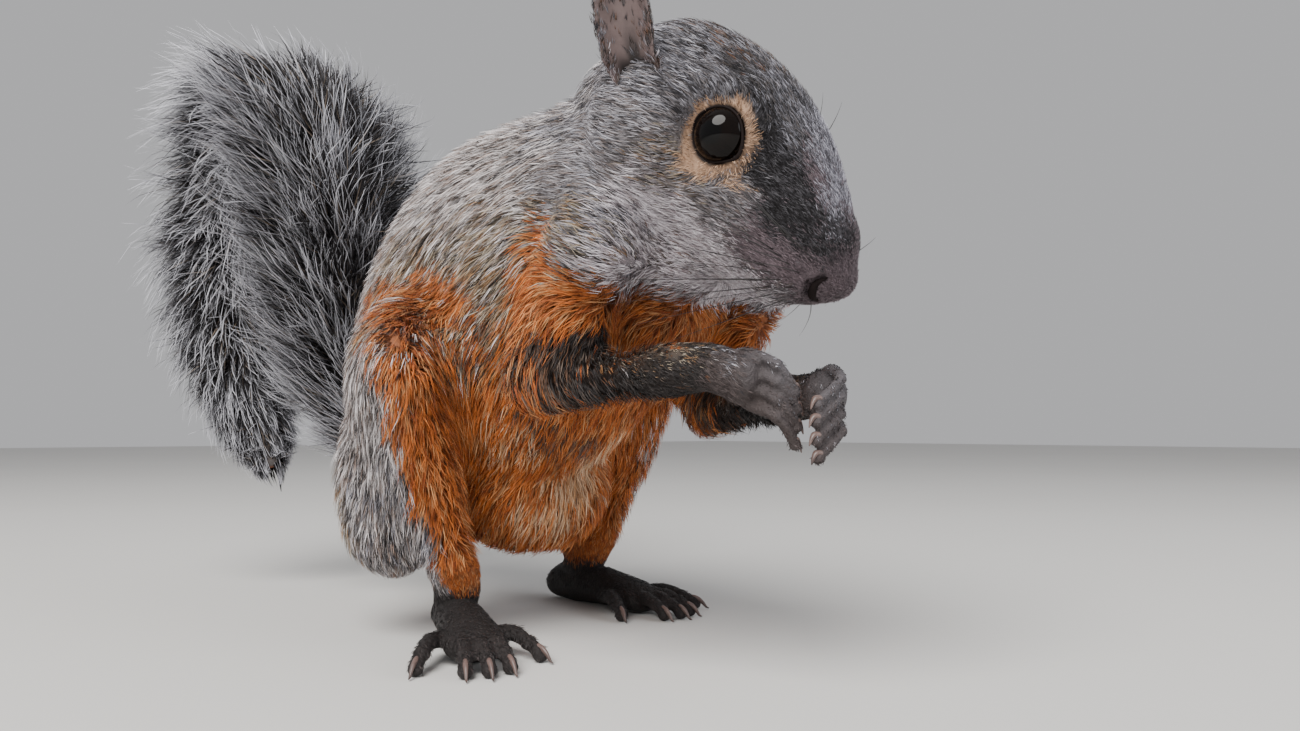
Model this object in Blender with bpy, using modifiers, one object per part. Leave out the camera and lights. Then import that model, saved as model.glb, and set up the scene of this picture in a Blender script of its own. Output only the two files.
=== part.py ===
"""Red-bellied squirrel, life size, sitting on its hind feet and holding its fore paws to its mouth.

The animal faces -Y, its left side is +X, and the soles of the hind feet lie on z = 0.
Each region is a set of lofted tubes and rounded masses fused into one surface,
and the fused surface is then parted by thin plane cuts into the named pieces.
Lengths below are millimetres; MM turns them into metres.
"""
import math

import bmesh
import bpy
from mathutils import Matrix, Vector

MM = 0.001
GAP = 0.3  # width of each parting cut
TAIL_LENGTHS = 6
MERGE = 0.02  # corners nearer than this become one
ARM_ROOM = 1.0  # space left between the jaw and the arms
# triangles that each thinned region is left with
TRUNK_FACES = 1900
SKULL_FACES = 1000
EAR_FACES = 230
TAIL_FACES = 640
HAND_FACES = 420
FOOT_FACES = 520
# share of the way along a limb bone at which it is parted
ELBOW_SHARE = 0.08
WRIST_SHARE = 0.92
KNEE_SHARE = 0.42
ANKLE_SHARE = 0.93

# ---------------------------------------------------------------- driving sizes
HEAD_AT = (0.7, -86.7, 105.0)  # midway between the eyes
HEAD_YAW = 23.0  # turned to its left
HEAD_PITCH = 42.0  # nose down
HEAD_ROLL = -8.0  # crown tipped to its right
EYE_RADIUS = 5.6
EYE_SIDE = 12.2
EYE_BACK = 1.0
EAR_LENGTH = 27.0
EAR_WIDTH = 10.8
EAR_CUP = 4.5
EAR_WALL = 1.2
EAR_LEAN = {"right": -40.0, "left": -60.0}
EAR_SPLAY = 14.0
EAR_TURN = 72.0
EAR_BASE = (18.0, 17.6, -4.0)

SHOULDER = {"right": (-19.0, -62.0, 90.0), "left": (23.0, -62.0, 88.0)}
ELBOW = {"right": (-26.0, -46.0, 59.0), "left": (25.0, -45.0, 54.5)}
WRIST = {"right": (-9.0, -82.0, 62.0), "left": (19.0, -83.0, 57.0)}
KNUCKLE = {"right": (-4.0, -89.0, 59.5), "left": (13.5, -94.0, 57.0)}
FINGERTIP = {"right": (1.0, -95.6, 52.5), "left": (3.6, -98.9, 50.0)}

HIP = {"right": (-17.0, 20.0, 54.0), "left": (19.0, 24.0, 54.0)}
KNEE = {"right": (-42.0, -19.0, 64.0), "left": (43.0, -4.0, 64.0)}
ANKLE = {"right": (-21.0, -9.0, 13.0), "left": (34.0, 15.0, 13.0)}
TOE = {"right": (-32.0, -43.0, 3.0), "left": (38.0, -23.0, 3.0)}

# centre x, y, z and half width, half depth down the spine, rump to throat
SPINE = [
    (0, 49, 35, 9, 9),
    (0, 41, 47, 22, 24),
    (0, 28, 66, 31, 45),
    (0, 5, 79, 33, 51),
    (0, -19, 87, 32, 46),
    (0, -40, 94, 29, 38),
    (0, -56, 101, 25, 32),
    (0, -67, 107, 22, 27),
    (0, -77, 110, 19, 23),
]
# tail envelope: centre x, y, z, half width across, half depth
TAIL = [
    (0, 48, 35, 8, 7),
    (-4, 60, 42, 17, 11),
    (-10, 70, 60, 25, 14),
    (-15, 74, 90, 32, 16),
    (-19, 75, 120, 35.5, 17),
    (-23, 80, 146, 36, 18),
    (-29, 92, 158, 34, 18),
    (-34, 105, 147, 31, 16),
    (-38, 110, 120, 29, 13),
    (-38, 109, 90, 26, 12.5),
    (-34, 106, 62, 19, 10.5),
    (-29, 101, 40, 8, 6),
]


def vec(p):
    return Vector(p) * MM


def lerp(a, b, t):
    return tuple(p + (q - p) * t for p, q in zip(a, b))


def smooth_rows(rows, steps):
    """Rows of numbers run through by a Catmull-Rom curve."""
    out = []
    last = len(rows) - 1
    for i in range(last):
        a = rows[max(i - 1, 0)]
        b = rows[i]
        c = rows[i + 1]
        d = rows[min(i + 2, last)]
        for k in range(steps):
            t = k / steps
            row = []
            for p, q, r, s in zip(a, b, c, d):
                row.append(0.5 * (2 * q + (r - p) * t + (2 * p - 5 * q + 4 * r - s) * t * t
                                  + (3 * q - p - 3 * r + s) * t ** 3))
            out.append(row)
    out.append(list(rows[last]))
    return out


def tube(bm, rows, across=(1, 0, 0), sides=20, steps=4, place=None):
    """A closed loft; each row is x, y, z, half width along `across`, half depth."""
    rows = smooth_rows(rows, steps)
    centres = [Vector(r[:3]) for r in rows]
    across = Vector(across)
    rings = []
    for i, row in enumerate(rows):
        ahead = centres[min(i + 1, len(rows) - 1)] - centres[max(i - 1, 0)]
        ahead.normalize()
        side = (across - ahead * across.dot(ahead)).normalized()
        deep = ahead.cross(side)
        ends = []
        if i == 0:
            ends = [(-0.7, 0.45), (-0.45, 0.8)]
        if i == len(rows) - 1:
            ends = [(0.45, 0.8), (0.7, 0.45)]
        levels = [(0.0, 1.0)] + ends if i else ends + [(0.0, 1.0)]
        for shift, grow in levels:
            size = min(row[3], row[4])
            middle = centres[i] + ahead * shift * size
            ring = []
            for k in range(sides):
                turn = 2 * math.pi * k / sides
                point = middle + side * math.cos(turn) * row[3] * grow
                point += deep * math.sin(turn) * row[4] * grow
                point *= MM
                if place:
                    point = place @ point
                ring.append(bm.verts.new(point))
            rings.append(ring)
    for low, high in zip(rings, rings[1:]):
        for k in range(sides):
            n = (k + 1) % sides
            bm.faces.new((low[k], low[n], high[n], high[k]))
    bm.faces.new(list(reversed(rings[0])))
    bm.faces.new(rings[-1])


def ball(bm, centre, radii, place=None, turn=None):
    """A rounded mass with three half sizes."""
    matrix = Matrix.Translation(vec(centre))
    if turn:
        matrix = matrix @ turn
    matrix = matrix @ Matrix.Diagonal((radii[0] * MM, radii[1] * MM, radii[2] * MM, 1))
    if place:
        matrix = place @ matrix
    bmesh.ops.create_icosphere(bm, subdivisions=3, radius=1.0, matrix=matrix)


def head_place():
    yaw = Matrix.Rotation(math.radians(HEAD_YAW), 4, "Z")
    pitch = Matrix.Rotation(math.radians(HEAD_PITCH), 4, "X")
    roll = Matrix.Rotation(math.radians(HEAD_ROLL), 4, "Y")
    return Matrix.Translation(vec(HEAD_AT)) @ yaw @ pitch @ roll


HEAD = head_place()
SIGN = {"right": -1, "left": 1}


def at_head(x, y, z):
    return tuple(HEAD @ vec((x, y, z)) / MM)


def away(cut):
    """The same cut, keeping its other side."""
    return (cut[0], tuple(-Vector(cut[1])))


# ---------------------------------------------------------------- regions
def trunk_masses(bm):
    tube(bm, SPINE, steps=5, sides=28)
    for side, sign in SIGN.items():
        shoulder = SHOULDER[side]
        elbow = ELBOW[side]
        wrist = WRIST[side]
        tube(bm, [
            lerp(shoulder, (0, -30, 104), 0.45) + (9, 12),
            shoulder + (11, 14),
            lerp(shoulder, elbow, 0.5) + (10, 13),
            elbow + (8, 8.5),
        ])
        tube(bm, [
            elbow + (8, 8.5),
            lerp(elbow, wrist, 0.35) + (7.2, 8),
            lerp(elbow, wrist, 0.7) + (5.6, 6.6),
            wrist + (4.6, 5.2),
            lerp(wrist, KNUCKLE[side], 0.6) + (4.4, 4.4),
        ])
        hip = HIP[side]
        knee = KNEE[side]
        ankle = ANKLE[side]
        calf = lerp(knee, ankle, 0.5)
        tube(bm, [
            hip + (16, 28),
            lerp(hip, knee, 0.5) + (17, 27),
            lerp(hip, knee, 0.85) + (13, 20),
            knee + (10, 13),
        ])
        tube(bm, [
            knee + (9.5, 12),
            (calf[0] + sign, calf[1] + 2, calf[2] + 2, 10.5, 13),
            lerp(knee, ankle, 0.8) + (7.4, 8.6),
            ankle + (5.6, 7.2),
            (ankle[0], ankle[1] + 3, ankle[2] - 5, 5, 6.5),
        ])
        haunch = lerp(hip, ankle, 0.45)
        ball(bm, (haunch[0] + 10 * sign, haunch[1] + 2, haunch[2] + 4), (16, 19, 27))
    ball(bm, (4, 0, 37), (24, 24, 21))


def neck_masses(bm):
    tube(bm, SPINE[5:], steps=5, sides=28)


def head_masses(bm):
    # station along the skull: y, crown z, jaw z, half width
    skull = [
        (-30.5, -5.5, -13.5, 4.4),
        (-28, -2.5, -17.0, 6.6),
        (-24.5, 1.0, -20.0, 8.6),
        (-20, 4.0, -23.5, 10.4),
        (-12, 8.8, -25.5, 12.8),
        (-4, 13.0, -27.0, 15.3),
        (4, 15.8, -28.0, 17.6),
        (12, 16.6, -28.5, 19.2),
        (20, 15.2, -28.5, 19.8),
        (28, 11.0, -28.0, 19.0),
        (36, 5.0, -27.0, 17.0),
    ]
    rows = []
    for y, crown, jaw, half in skull:
        rows.append((0, y, (crown + jaw) / 2, half, (crown - jaw) / 2))
    tube(bm, rows, place=HEAD, sides=32)


# place on the head, reach, and push outward: x is mirrored
HEAD_SWELLS = [
    ((12, 0, 9), 5.5, (1.6, 0, 2.4)),
    ((16, 1, 0), 5.5, (-1.8, 0, 0)),
    ((17, 13, -14), 10.0, (2.6, 0, -1.0)),
    ((10, -14, 0), 5.0, (-0.6, 0, 0)),
    ((7.5, -23, -15), 5.0, (1.2, -0.2, -0.4)),
    ((17, 19, 0), 5.0, (1.2, 0, 0.8)),
]


def shape_head(bm):
    """Brows, eye hollows, cheeks and whisker pads."""
    back = HEAD.inverted()
    for vert in bm.verts:
        p = back @ vert.co / MM
        sign = 1 if p.x > 0 else -1
        move = Vector((0, 0, 0))
        for centre, reach, push in HEAD_SWELLS:
            gap = Vector((abs(p.x), p.y, p.z)) - Vector(centre)
            move += Vector(push) * math.exp(-(gap.length / reach) ** 2)
        move.x *= sign * min(1.0, abs(p.x) / 4.0)
        vert.co = HEAD @ ((p + move) * MM)


def eye_globe(bm, sign, radius):
    matrix = HEAD @ Matrix.Translation(vec((sign * EYE_SIDE, EYE_BACK, 0)))
    bmesh.ops.create_icosphere(bm, subdivisions=2, radius=radius * MM, matrix=matrix)


def ear_matrix(side):
    sign = SIGN[side]
    lean = Matrix.Rotation(math.radians(EAR_LEAN[side]), 4, "X")
    splay = Matrix.Rotation(math.radians(sign * EAR_SPLAY), 4, "Y")
    turn = Matrix.Rotation(math.radians(sign * EAR_TURN), 4, "Z")
    return HEAD @ Matrix.Translation(vec((sign * EAR_BASE[0], EAR_BASE[1], EAR_BASE[2]))) @ lean @ splay @ turn


def ear_shell(bm, side):
    """A cupped leaf: the hollow side looks outward and a little forward."""
    place = ear_matrix(side)
    rows = 12
    cols = 10
    grids = []
    for layer in (0, 1):
        grid = []
        for i in range(rows + 1):
            v = i / rows
            half = EAR_WIDTH / 2 * (0.75 + 0.5 * v) * math.sqrt(max(1 - v ** 2.6, 0.0)) + 0.3
            row = []
            for k in range(cols + 1):
                u = 2 * k / cols - 1
                cup = (1 - u * u) * EAR_CUP * (1 - 0.5 * v)
                y = cup + layer * EAR_WALL - EAR_CUP / 2
                row.append(bm.verts.new(place @ vec((u * half, y, v * EAR_LENGTH))))
            grid.append(row)
        grids.append(grid)
    front, back = grids
    for i in range(rows):
        for k in range(cols):
            bm.faces.new((front[i][k], front[i][k + 1], front[i + 1][k + 1], front[i + 1][k]))
            bm.faces.new((back[i][k], back[i + 1][k], back[i + 1][k + 1], back[i][k + 1]))
    for i in range(rows):
        for k in (0, cols):
            a, b = front[i][k], front[i + 1][k]
            c, d = back[i + 1][k], back[i][k]
            bm.faces.new((a, b, c, d) if k == 0 else (d, c, b, a))
    for i in (0, rows):
        for k in range(cols):
            a, b = front[i][k], front[i][k + 1]
            c, d = back[i][k + 1], back[i][k]
            bm.faces.new((d, c, b, a) if i == 0 else (a, b, c, d))


def digit(bm, points, thick, claw, across=(1, 0, 0)):
    """A finger or toe along the given points, with a hooked claw at its end."""
    rows = []
    for i, p in enumerate(points):
        t = i / (len(points) - 1)
        swell = thick * (1 - 0.18 * t)
        rows.append(tuple(p) + (swell, swell))
    tube(bm, rows, across=across, sides=12, steps=3)
    tip = Vector(points[-1])
    ahead = (tip - Vector(points[-2])).normalized()
    up = Vector((0, 0, 1))
    if abs(ahead.z) > 0.9:
        up = Vector((0, -1, 0))
    start = tip + up * thick * 0.35
    rows = [
        tuple(start) + (0.75, 0.95),
        tuple(start + ahead * claw * 0.45 + up * 0.25) + (0.65, 0.8),
        tuple(start + ahead * claw * 0.9 - up * claw * 0.3) + (0.38, 0.42),
    ]
    tube(bm, rows, across=across, sides=8, steps=3)


def foot_masses(bm, side):
    sign = SIGN[side]
    ankle = Vector(ANKLE[side])
    toe = Vector(TOE[side])
    run = toe - ankle
    run.z = 0
    run.normalize()
    out = Vector((-run.y, run.x, 0)) * sign  # away from the body's middle
    if out.x * sign < 0:
        out = -out
    length = (Vector((toe.x, toe.y, 0)) - Vector((ankle.x, ankle.y, 0))).length
    base = Vector((ankle.x, ankle.y, 0))

    def at(along, aside, high):
        return tuple(base + run * along + out * aside + Vector((0, 0, high)))

    knee = KNEE[side]
    tube(bm, [
        lerp(knee, ANKLE[side], 0.62) + (8.4, 10.2),
        lerp(knee, ANKLE[side], 0.8) + (7.4, 8.6),
        ANKLE[side] + (5.6, 7.2),
        at(-3, 0, 8) + (5, 6.5),
    ])
    tube(bm, [
        at(-12, 0, 4.5) + (4.4, 4.6),
        at(-4, 0, 6.0) + (5.2, 6.6),
        at(6, 0, 5.6) + (5.8, 5.8),
        at(length - 20, 0, 4.6) + (7.0, 4.6),
        at(length - 13, 0, 3.6) + (7.4, 3.8),
    ], across=tuple(out))
    # each toe's place across the foot, and how far it ends behind the middle one
    spread = [(-1.15, -9), (-0.5, -1.5), (0.0, 0.0), (0.5, -1.0), (1.2, -7)]
    for place, back in spread:
        aside = place * 6.4
        reach = length + back
        splay = place * 3.0
        if abs(place) > 1:
            splay = place * 5.0
        points = [
            at(reach - 15, aside * 0.8, 3.8),
            at(reach - 9, aside + splay * 0.3, 4.9),
            at(reach - 4, aside + splay * 0.7, 3.6),
            at(reach - 0.5, aside + splay, 1.9),
        ]
        digit(bm, points, 2.1, 5.2, across=tuple(out))


def hand_masses(bm, side):
    sign = SIGN[side]
    wrist = Vector(WRIST[side])
    knuckle = Vector(KNUCKLE[side])
    tip = Vector(FINGERTIP[side])
    elbow = ELBOW[side]
    tube(bm, [
        lerp(elbow, WRIST[side], 0.7) + (5.6, 6.6),
        WRIST[side] + (4.6, 5.2),
        lerp(WRIST[side], KNUCKLE[side], 0.6) + (4.4, 4.8),
    ])
    ball(bm, lerp(WRIST[side], KNUCKLE[side], 0.75), (4.2, 5.2, 5.6))
    down = Vector((0, 0, -1))
    inward = Vector((-sign, 0, 0))
    for i in range(4):
        place = i - 1.5  # first finger on top, fourth below
        root = knuckle + down * place * 3.0
        end = tip + down * place * 2.8 + inward * (0.8 - 0.5 * abs(place))
        bend = root.lerp(end, 0.5) + Vector((0, -2.6, 1.2)) - inward * 1.6
        points = [
            tuple(wrist.lerp(root, 0.7)),
            tuple(root),
            tuple(bend),
            tuple(end),
        ]
        digit(bm, points, 1.75, 3.6, across=(0, 0, 1))


def upper_arm_envelope(side, grow):
    """A closed cutter from shoulder to elbow, sunk into the chest beneath it."""
    sign = SIGN[side]
    shoulder = SHOULDER[side]
    elbow = ELBOW[side]
    top = (shoulder[0] + 7 * sign, shoulder[1] + 6, shoulder[2] + 4)
    return cutter([
        top + (10, 15),
        (elbow[0] + 2 * sign, elbow[1], elbow[2] - 2, 13, 13),
    ], grow)


def forearm_envelope(side, grow):
    """A closed cutter from elbow to wrist."""
    sign = SIGN[side]
    elbow = ELBOW[side]
    return cutter([
        (elbow[0] + sign, elbow[1] - 1.5, elbow[2] - 2.6, 12.3, 12.7),
        lerp(elbow, WRIST[side], 0.98) + (11, 11),
    ], grow)


def leg_envelope(side, grow):
    """A closed cutter round the thigh and shank, sunk into the flank beneath them."""
    sign = SIGN[side]
    knee = KNEE[side]
    ankle = ANKLE[side]
    middle = (HIP[side][1] + knee[1]) / 2
    reach = ankle[0] - knee[0]
    return cutter([
        (knee[0], middle + 2, knee[2] + 24, 14, 32),
        (knee[0] + 2 * sign, middle, knee[2] + 6, 18, 38),
        (knee[0], middle - 1, knee[2] - 12, 22, 40),
        (knee[0] + reach * 0.4, middle - 1, ankle[2] + 21, 22, 36),
        (knee[0] + reach * 0.75, (middle + ankle[1]) / 2, ankle[2] + 7, 18, 28),
        (ankle[0], ankle[1], ankle[2] - 7, 15, 20),
    ], grow)


def cutter(rows, grow):
    bm = bmesh.new()
    tube(bm, [row[:3] + (row[3] + grow, row[4] + grow) for row in rows], sides=10, steps=1)
    return bm


def tail_masses(bm):
    tube(bm, TAIL, steps=5, sides=24)


# ---------------------------------------------------------------- fusing and parting
def new_object(name, bm, where):
    mesh = bpy.data.meshes.new(name)
    bm.to_mesh(mesh)
    bm.free()
    obj = bpy.data.objects.new(name, mesh)
    where.objects.link(obj)
    return obj


def modified(obj, settings):
    """The object's mesh after the given modifiers, as a new bmesh; the object is removed."""
    for kind, values in settings:
        modifier = obj.modifiers.new(kind.title(), kind)
        for key, value in values.items():
            setattr(modifier, key, value)
    graph = bpy.context.evaluated_depsgraph_get()
    mesh = bpy.data.meshes.new_from_object(obj.evaluated_get(graph))
    bm = bmesh.new()
    bm.from_mesh(mesh)
    bpy.data.objects.remove(obj)
    bpy.data.meshes.remove(mesh)
    return bm


def fuse(name, build, grain, rounds, where):
    """All the masses of a region as one even surface, `grain` millimetres fine."""
    bm = bmesh.new()
    build(bm)
    bmesh.ops.recalc_face_normals(bm, faces=bm.faces)
    obj = new_object(name, bm, where)
    return modified(obj, [
        ("REMESH", {"mode": "VOXEL", "voxel_size": grain * MM}),
        ("SMOOTH", {"factor": 0.5, "iterations": rounds}),
    ])


def keep_side(bm, point, normal, shift):
    """Cut by a plane, keep the side the normal points away from, and close the cut."""
    normal = Vector(normal).normalized()
    where = vec(point) - normal * shift * MM
    geometry = bm.verts[:] + bm.edges[:] + bm.faces[:]
    cut = bmesh.ops.bisect_plane(bm, geom=geometry, dist=1e-8, plane_co=where,
                                 plane_no=normal, clear_outer=True)
    rim = [e for e in cut["geom_cut"] if isinstance(e, bmesh.types.BMEdge) and e.is_boundary]
    if rim:
        bmesh.ops.holes_fill(bm, edges=rim, sides=0)


def keep_nearest(bm, centre):
    """Drop every loose island except the one whose middle is nearest the given point."""
    centre = vec(centre)
    bm.verts.ensure_lookup_table()
    seen = set()
    best = None
    for first in bm.verts:
        if first.index in seen:
            continue
        island = []
        stack = [first]
        seen.add(first.index)
        while stack:
            v = stack.pop()
            island.append(v)
            for e in v.link_edges:
                other = e.other_vert(v)
                if other.index not in seen:
                    seen.add(other.index)
                    stack.append(other)
        if len(island) < 8:
            continue
        middle = Vector((0, 0, 0))
        for v in island:
            middle += v.co
        middle /= len(island)
        distance = (middle - centre).length
        if best is None or distance < best[0]:
            best = (distance, set(island))
    drop = [v for v in bm.verts if v not in best[1]]
    bmesh.ops.delete(bm, geom=drop, context="VERTS")


def close_up(bm):
    """Draw pinched edges together, drop loose ones and fill what is left open."""
    pinched = [edge for edge in bm.edges if len(edge.link_faces) > 2]
    if pinched:
        bmesh.ops.collapse(bm, edges=pinched)
    loose = [edge for edge in bm.edges if not edge.link_faces]
    bmesh.ops.delete(bm, geom=loose, context="EDGES")
    rim = [edge for edge in bm.edges if edge.is_boundary]
    if rim:
        bmesh.ops.holes_fill(bm, edges=rim, sides=0)


def boolean(region, cutter, operation, where):
    """The region cut by, or kept inside, a closed cutter."""
    obj = new_object("region", region.copy(), where)
    bmesh.ops.recalc_face_normals(cutter, faces=cutter.faces)
    tool = new_object("cutter", cutter, where)
    bm = modified(obj, [("BOOLEAN", {"operation": operation, "object": tool,
                                      "solver": "EXACT", "use_self": True})])
    bpy.data.objects.remove(tool)
    close_up(bm)
    return bm


def grown(region, distance):
    """A copy of the region with its surface moved out by `distance` millimetres."""
    bm = region.copy()
    bm.normal_update()
    for vert in bm.verts:
        vert.co += vert.normal * distance * MM
    return bm


def thinned(region, faces, where):
    """The region's surface with about `faces` triangles."""
    bmesh.ops.triangulate(region, faces=region.faces)
    ratio = min(1.0, faces / len(region.faces))
    return modified(new_object("dense", region, where), [("DECIMATE", {"ratio": ratio})])


def inside(region, centre, planes, margin):
    """The island of the region nearest a point, cut `margin` millimetres outside the planes."""
    bm = region.copy()
    for point, normal in planes:
        keep_side(bm, point, normal, -margin)
    keep_nearest(bm, centre)
    return bm


def piece(name, region, centre, planes, faces, material, where):
    """One named piece: a fused region inside its cutting planes, thinned to `faces` triangles."""
    if faces:
        bm = thinned(inside(region, centre, planes, 1.0), faces, where)
    else:
        bm = region.copy()
    for point, normal in planes:
        keep_side(bm, point, normal, GAP / 2)
    keep_nearest(bm, centre)
    bmesh.ops.triangulate(bm, faces=bm.faces)
    bmesh.ops.remove_doubles(bm, verts=bm.verts, dist=MERGE * MM)
    close_up(bm)
    bmesh.ops.triangulate(bm, faces=bm.faces)
    bmesh.ops.recalc_face_normals(bm, faces=bm.faces)
    for face in bm.faces:
        face.smooth = True
    obj = new_object(name, bm, where)
    obj.data.materials.append(material)
    return obj


def material(name, colour, roughness):
    mat = bpy.data.materials.new(name)
    mat.use_nodes = True
    shader = mat.node_tree.nodes["Principled BSDF"]
    shader.inputs["Base Color"].default_value = (*colour, 1)
    shader.inputs["Roughness"].default_value = roughness
    shader.inputs["Metallic"].default_value = 0.0
    return mat


def tail_cut(i):
    """A plane square across the tail at one of its rows."""
    ahead = Vector(TAIL[i + 1][:3]) - Vector(TAIL[i - 1][:3])
    return (TAIL[i][:3], tuple(ahead))


def stand_on_origin(squirrel):
    """Move every piece so that the bottom centre of the whole animal's box is the origin."""
    points = [vert.co for obj in squirrel.objects for vert in obj.data.vertices]
    low = [min(p[k] for p in points) for k in range(3)]
    high = [max(p[k] for p in points) for k in range(3)]
    shift = Matrix.Translation((-(low[0] + high[0]) / 2, -(low[1] + high[1]) / 2, -low[2]))
    for obj in squirrel.objects:
        obj.data.transform(shift)


def build():
    for obj in list(bpy.data.objects):
        bpy.data.objects.remove(obj)
    squirrel = bpy.data.collections.new("red_bellied_squirrel")
    bpy.context.scene.collection.children.link(squirrel)

    grey = material("grizzled_grey_fur", (0.30, 0.28, 0.26), 0.9)
    rufous = material("rufous_fur", (0.50, 0.17, 0.05), 0.9)
    dark = material("dark_skin", (0.07, 0.055, 0.05), 0.6)
    silver = material("silver_tail_fur", (0.36, 0.35, 0.35), 0.9)
    black = material("wet_eye", (0.01, 0.008, 0.008), 0.05)

    trunk = fuse("trunk_region", trunk_masses, 1.2, 16, squirrel)

    def front(bm):
        neck_masses(bm)
        head_masses(bm)

    head = fuse("head_region", front, 0.6, 14, squirrel)
    shape_head(head)
    tail = fuse("tail_region", tail_masses, 2.0, 3, squirrel)

    # parting planes: a point and the direction that leaves the kept side
    neck_cut = (SPINE[5][:3], (0, -0.93, 0.36))
    head_cut = (at_head(0, 27, 0), (0.25, -0.93, -0.25))
    head_sides = [away(head_cut), away(neck_cut)]
    chest_cut = ((0, -24, 80), (0, -1, 0.15))
    floor_cut = ((0, 0, -GAP / 2), (0, 0, -1))

    def part(*args):
        piece(*args, squirrel)

    trunk = thinned(trunk, TRUNK_FACES, squirrel)
    body = trunk.copy()
    for side in SIGN:
        upper = boolean(trunk, upper_arm_envelope(side, 0.0), "INTERSECT", squirrel)
        fore = boolean(trunk, forearm_envelope(side, 0.0), "INTERSECT", squirrel)
        leg = boolean(trunk, leg_envelope(side, 0.0), "INTERSECT", squirrel)
        body = boolean(body, upper_arm_envelope(side, GAP), "DIFFERENCE", squirrel)
        body = boolean(body, forearm_envelope(side, GAP), "DIFFERENCE", squirrel)
        body = boolean(body, leg_envelope(side, GAP), "DIFFERENCE", squirrel)
        reach = tuple(Vector(WRIST[side]) - Vector(ELBOW[side]))
        lift = Vector(SHOULDER[side]) - Vector(ELBOW[side])
        fold = Vector(reach).normalized() - lift.normalized()
        elbow_cut = (lerp(ELBOW[side], WRIST[side], ELBOW_SHARE), tuple(fold))
        wrist_cut = (lerp(ELBOW[side], WRIST[side], WRIST_SHARE), reach)
        knee_cut = (lerp(KNEE[side], ANKLE[side], KNEE_SHARE), (0, 0, -1))
        ankle_cut = (lerp(KNEE[side], ANKLE[side], ANKLE_SHARE), (0, 0, -1))
        part("upper_arm_" + side, upper, lerp(SHOULDER[side], ELBOW[side], 0.6), [elbow_cut], 0, rufous)
        part("forearm_" + side, fore, lerp(ELBOW[side], WRIST[side], 0.5),
             [away(elbow_cut), wrist_cut], 0, grey)
        hand = fuse("hand_region_" + side, lambda bm: hand_masses(bm, side), 0.45, 3, squirrel)
        part("hand_" + side, hand, KNUCKLE[side], [away(wrist_cut)], HAND_FACES, dark)
        part("thigh_" + side, leg, lerp(HIP[side], KNEE[side], 0.7), [knee_cut], 0, rufous)
        part("shank_" + side, leg, lerp(KNEE[side], ANKLE[side], 0.6),
             [away(knee_cut), ankle_cut], 0, rufous)
        foot = fuse("foot_region_" + side, lambda bm: foot_masses(bm, side), 0.5, 3, squirrel)
        part("foot_" + side, foot, lerp(ANKLE[side], TOE[side], 0.5),
             [away(ankle_cut), floor_cut], FOOT_FACES, dark)
    part("chest", body, (0, -40, 85), [neck_cut, away(chest_cut)], 0, rufous)
    part("belly", body, (0, 5, 70), [chest_cut], 0, rufous)
    part("neck", body, (2, -62, 100), [away(neck_cut), head_cut], 0, grey)
    skull = inside(head, at_head(0, 0, -3), head_sides, 1.0)
    skull = thinned(skull, SKULL_FACES, squirrel)
    for side in SIGN:
        skull = boolean(skull, upper_arm_envelope(side, ARM_ROOM), "DIFFERENCE", squirrel)
        skull = boolean(skull, forearm_envelope(side, ARM_ROOM), "DIFFERENCE", squirrel)
    for side in SIGN:
        ear = fuse("ear_region_" + side, lambda bm: ear_shell(bm, side), 0.45, 2, squirrel)
        ear = thinned(ear, EAR_FACES, squirrel)
        ear = boolean(ear, grown(body, GAP), "DIFFERENCE", squirrel)
        ear = boolean(ear, grown(skull, GAP), "DIFFERENCE", squirrel)
        part("ear_" + side, ear, tuple(ear_matrix(side) @ vec((0, 3, 16)) / MM), [], 0, grey)
    for side, sign in SIGN.items():
        socket = bmesh.new()
        eye_globe(socket, sign, EYE_RADIUS + GAP / 2)
        skull = boolean(skull, socket, "DIFFERENCE", squirrel)
    part("head", skull, at_head(0, 0, -3), head_sides, 0, grey)
    for side, sign in SIGN.items():
        globe = bmesh.new()
        eye_globe(globe, sign, EYE_RADIUS)
        eye = new_object("eye_" + side, globe, squirrel)
        eye.data.materials.append(black)
    tail = thinned(tail, TAIL_FACES, squirrel)
    tail = boolean(tail, grown(body, GAP), "DIFFERENCE", squirrel)
    for i in range(TAIL_LENGTHS):
        first = 2 * i
        last = first + 2
        planes = []
        if i > 0:
            planes.append(away(tail_cut(first)))
        if i < TAIL_LENGTHS - 1:
            planes.append(tail_cut(last))
        part("tail_%d" % (i + 1), tail, TAIL[first + 1][:3], planes, 0, silver)
    stand_on_origin(squirrel)


build()
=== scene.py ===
"""Red-bellied squirrel: skin, coat, eyes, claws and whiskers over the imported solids.

Lengths are millimetres in the animal's own frame: it faces -Y, its left is +X and
its soles are on z = 0. Every finished piece is moved once by SET_DOWN into the row's frame.
"""
import math

import bmesh
import bpy
import numpy as np
from mathutils import Matrix, Vector
from mathutils.bvhtree import BVHTree


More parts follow.
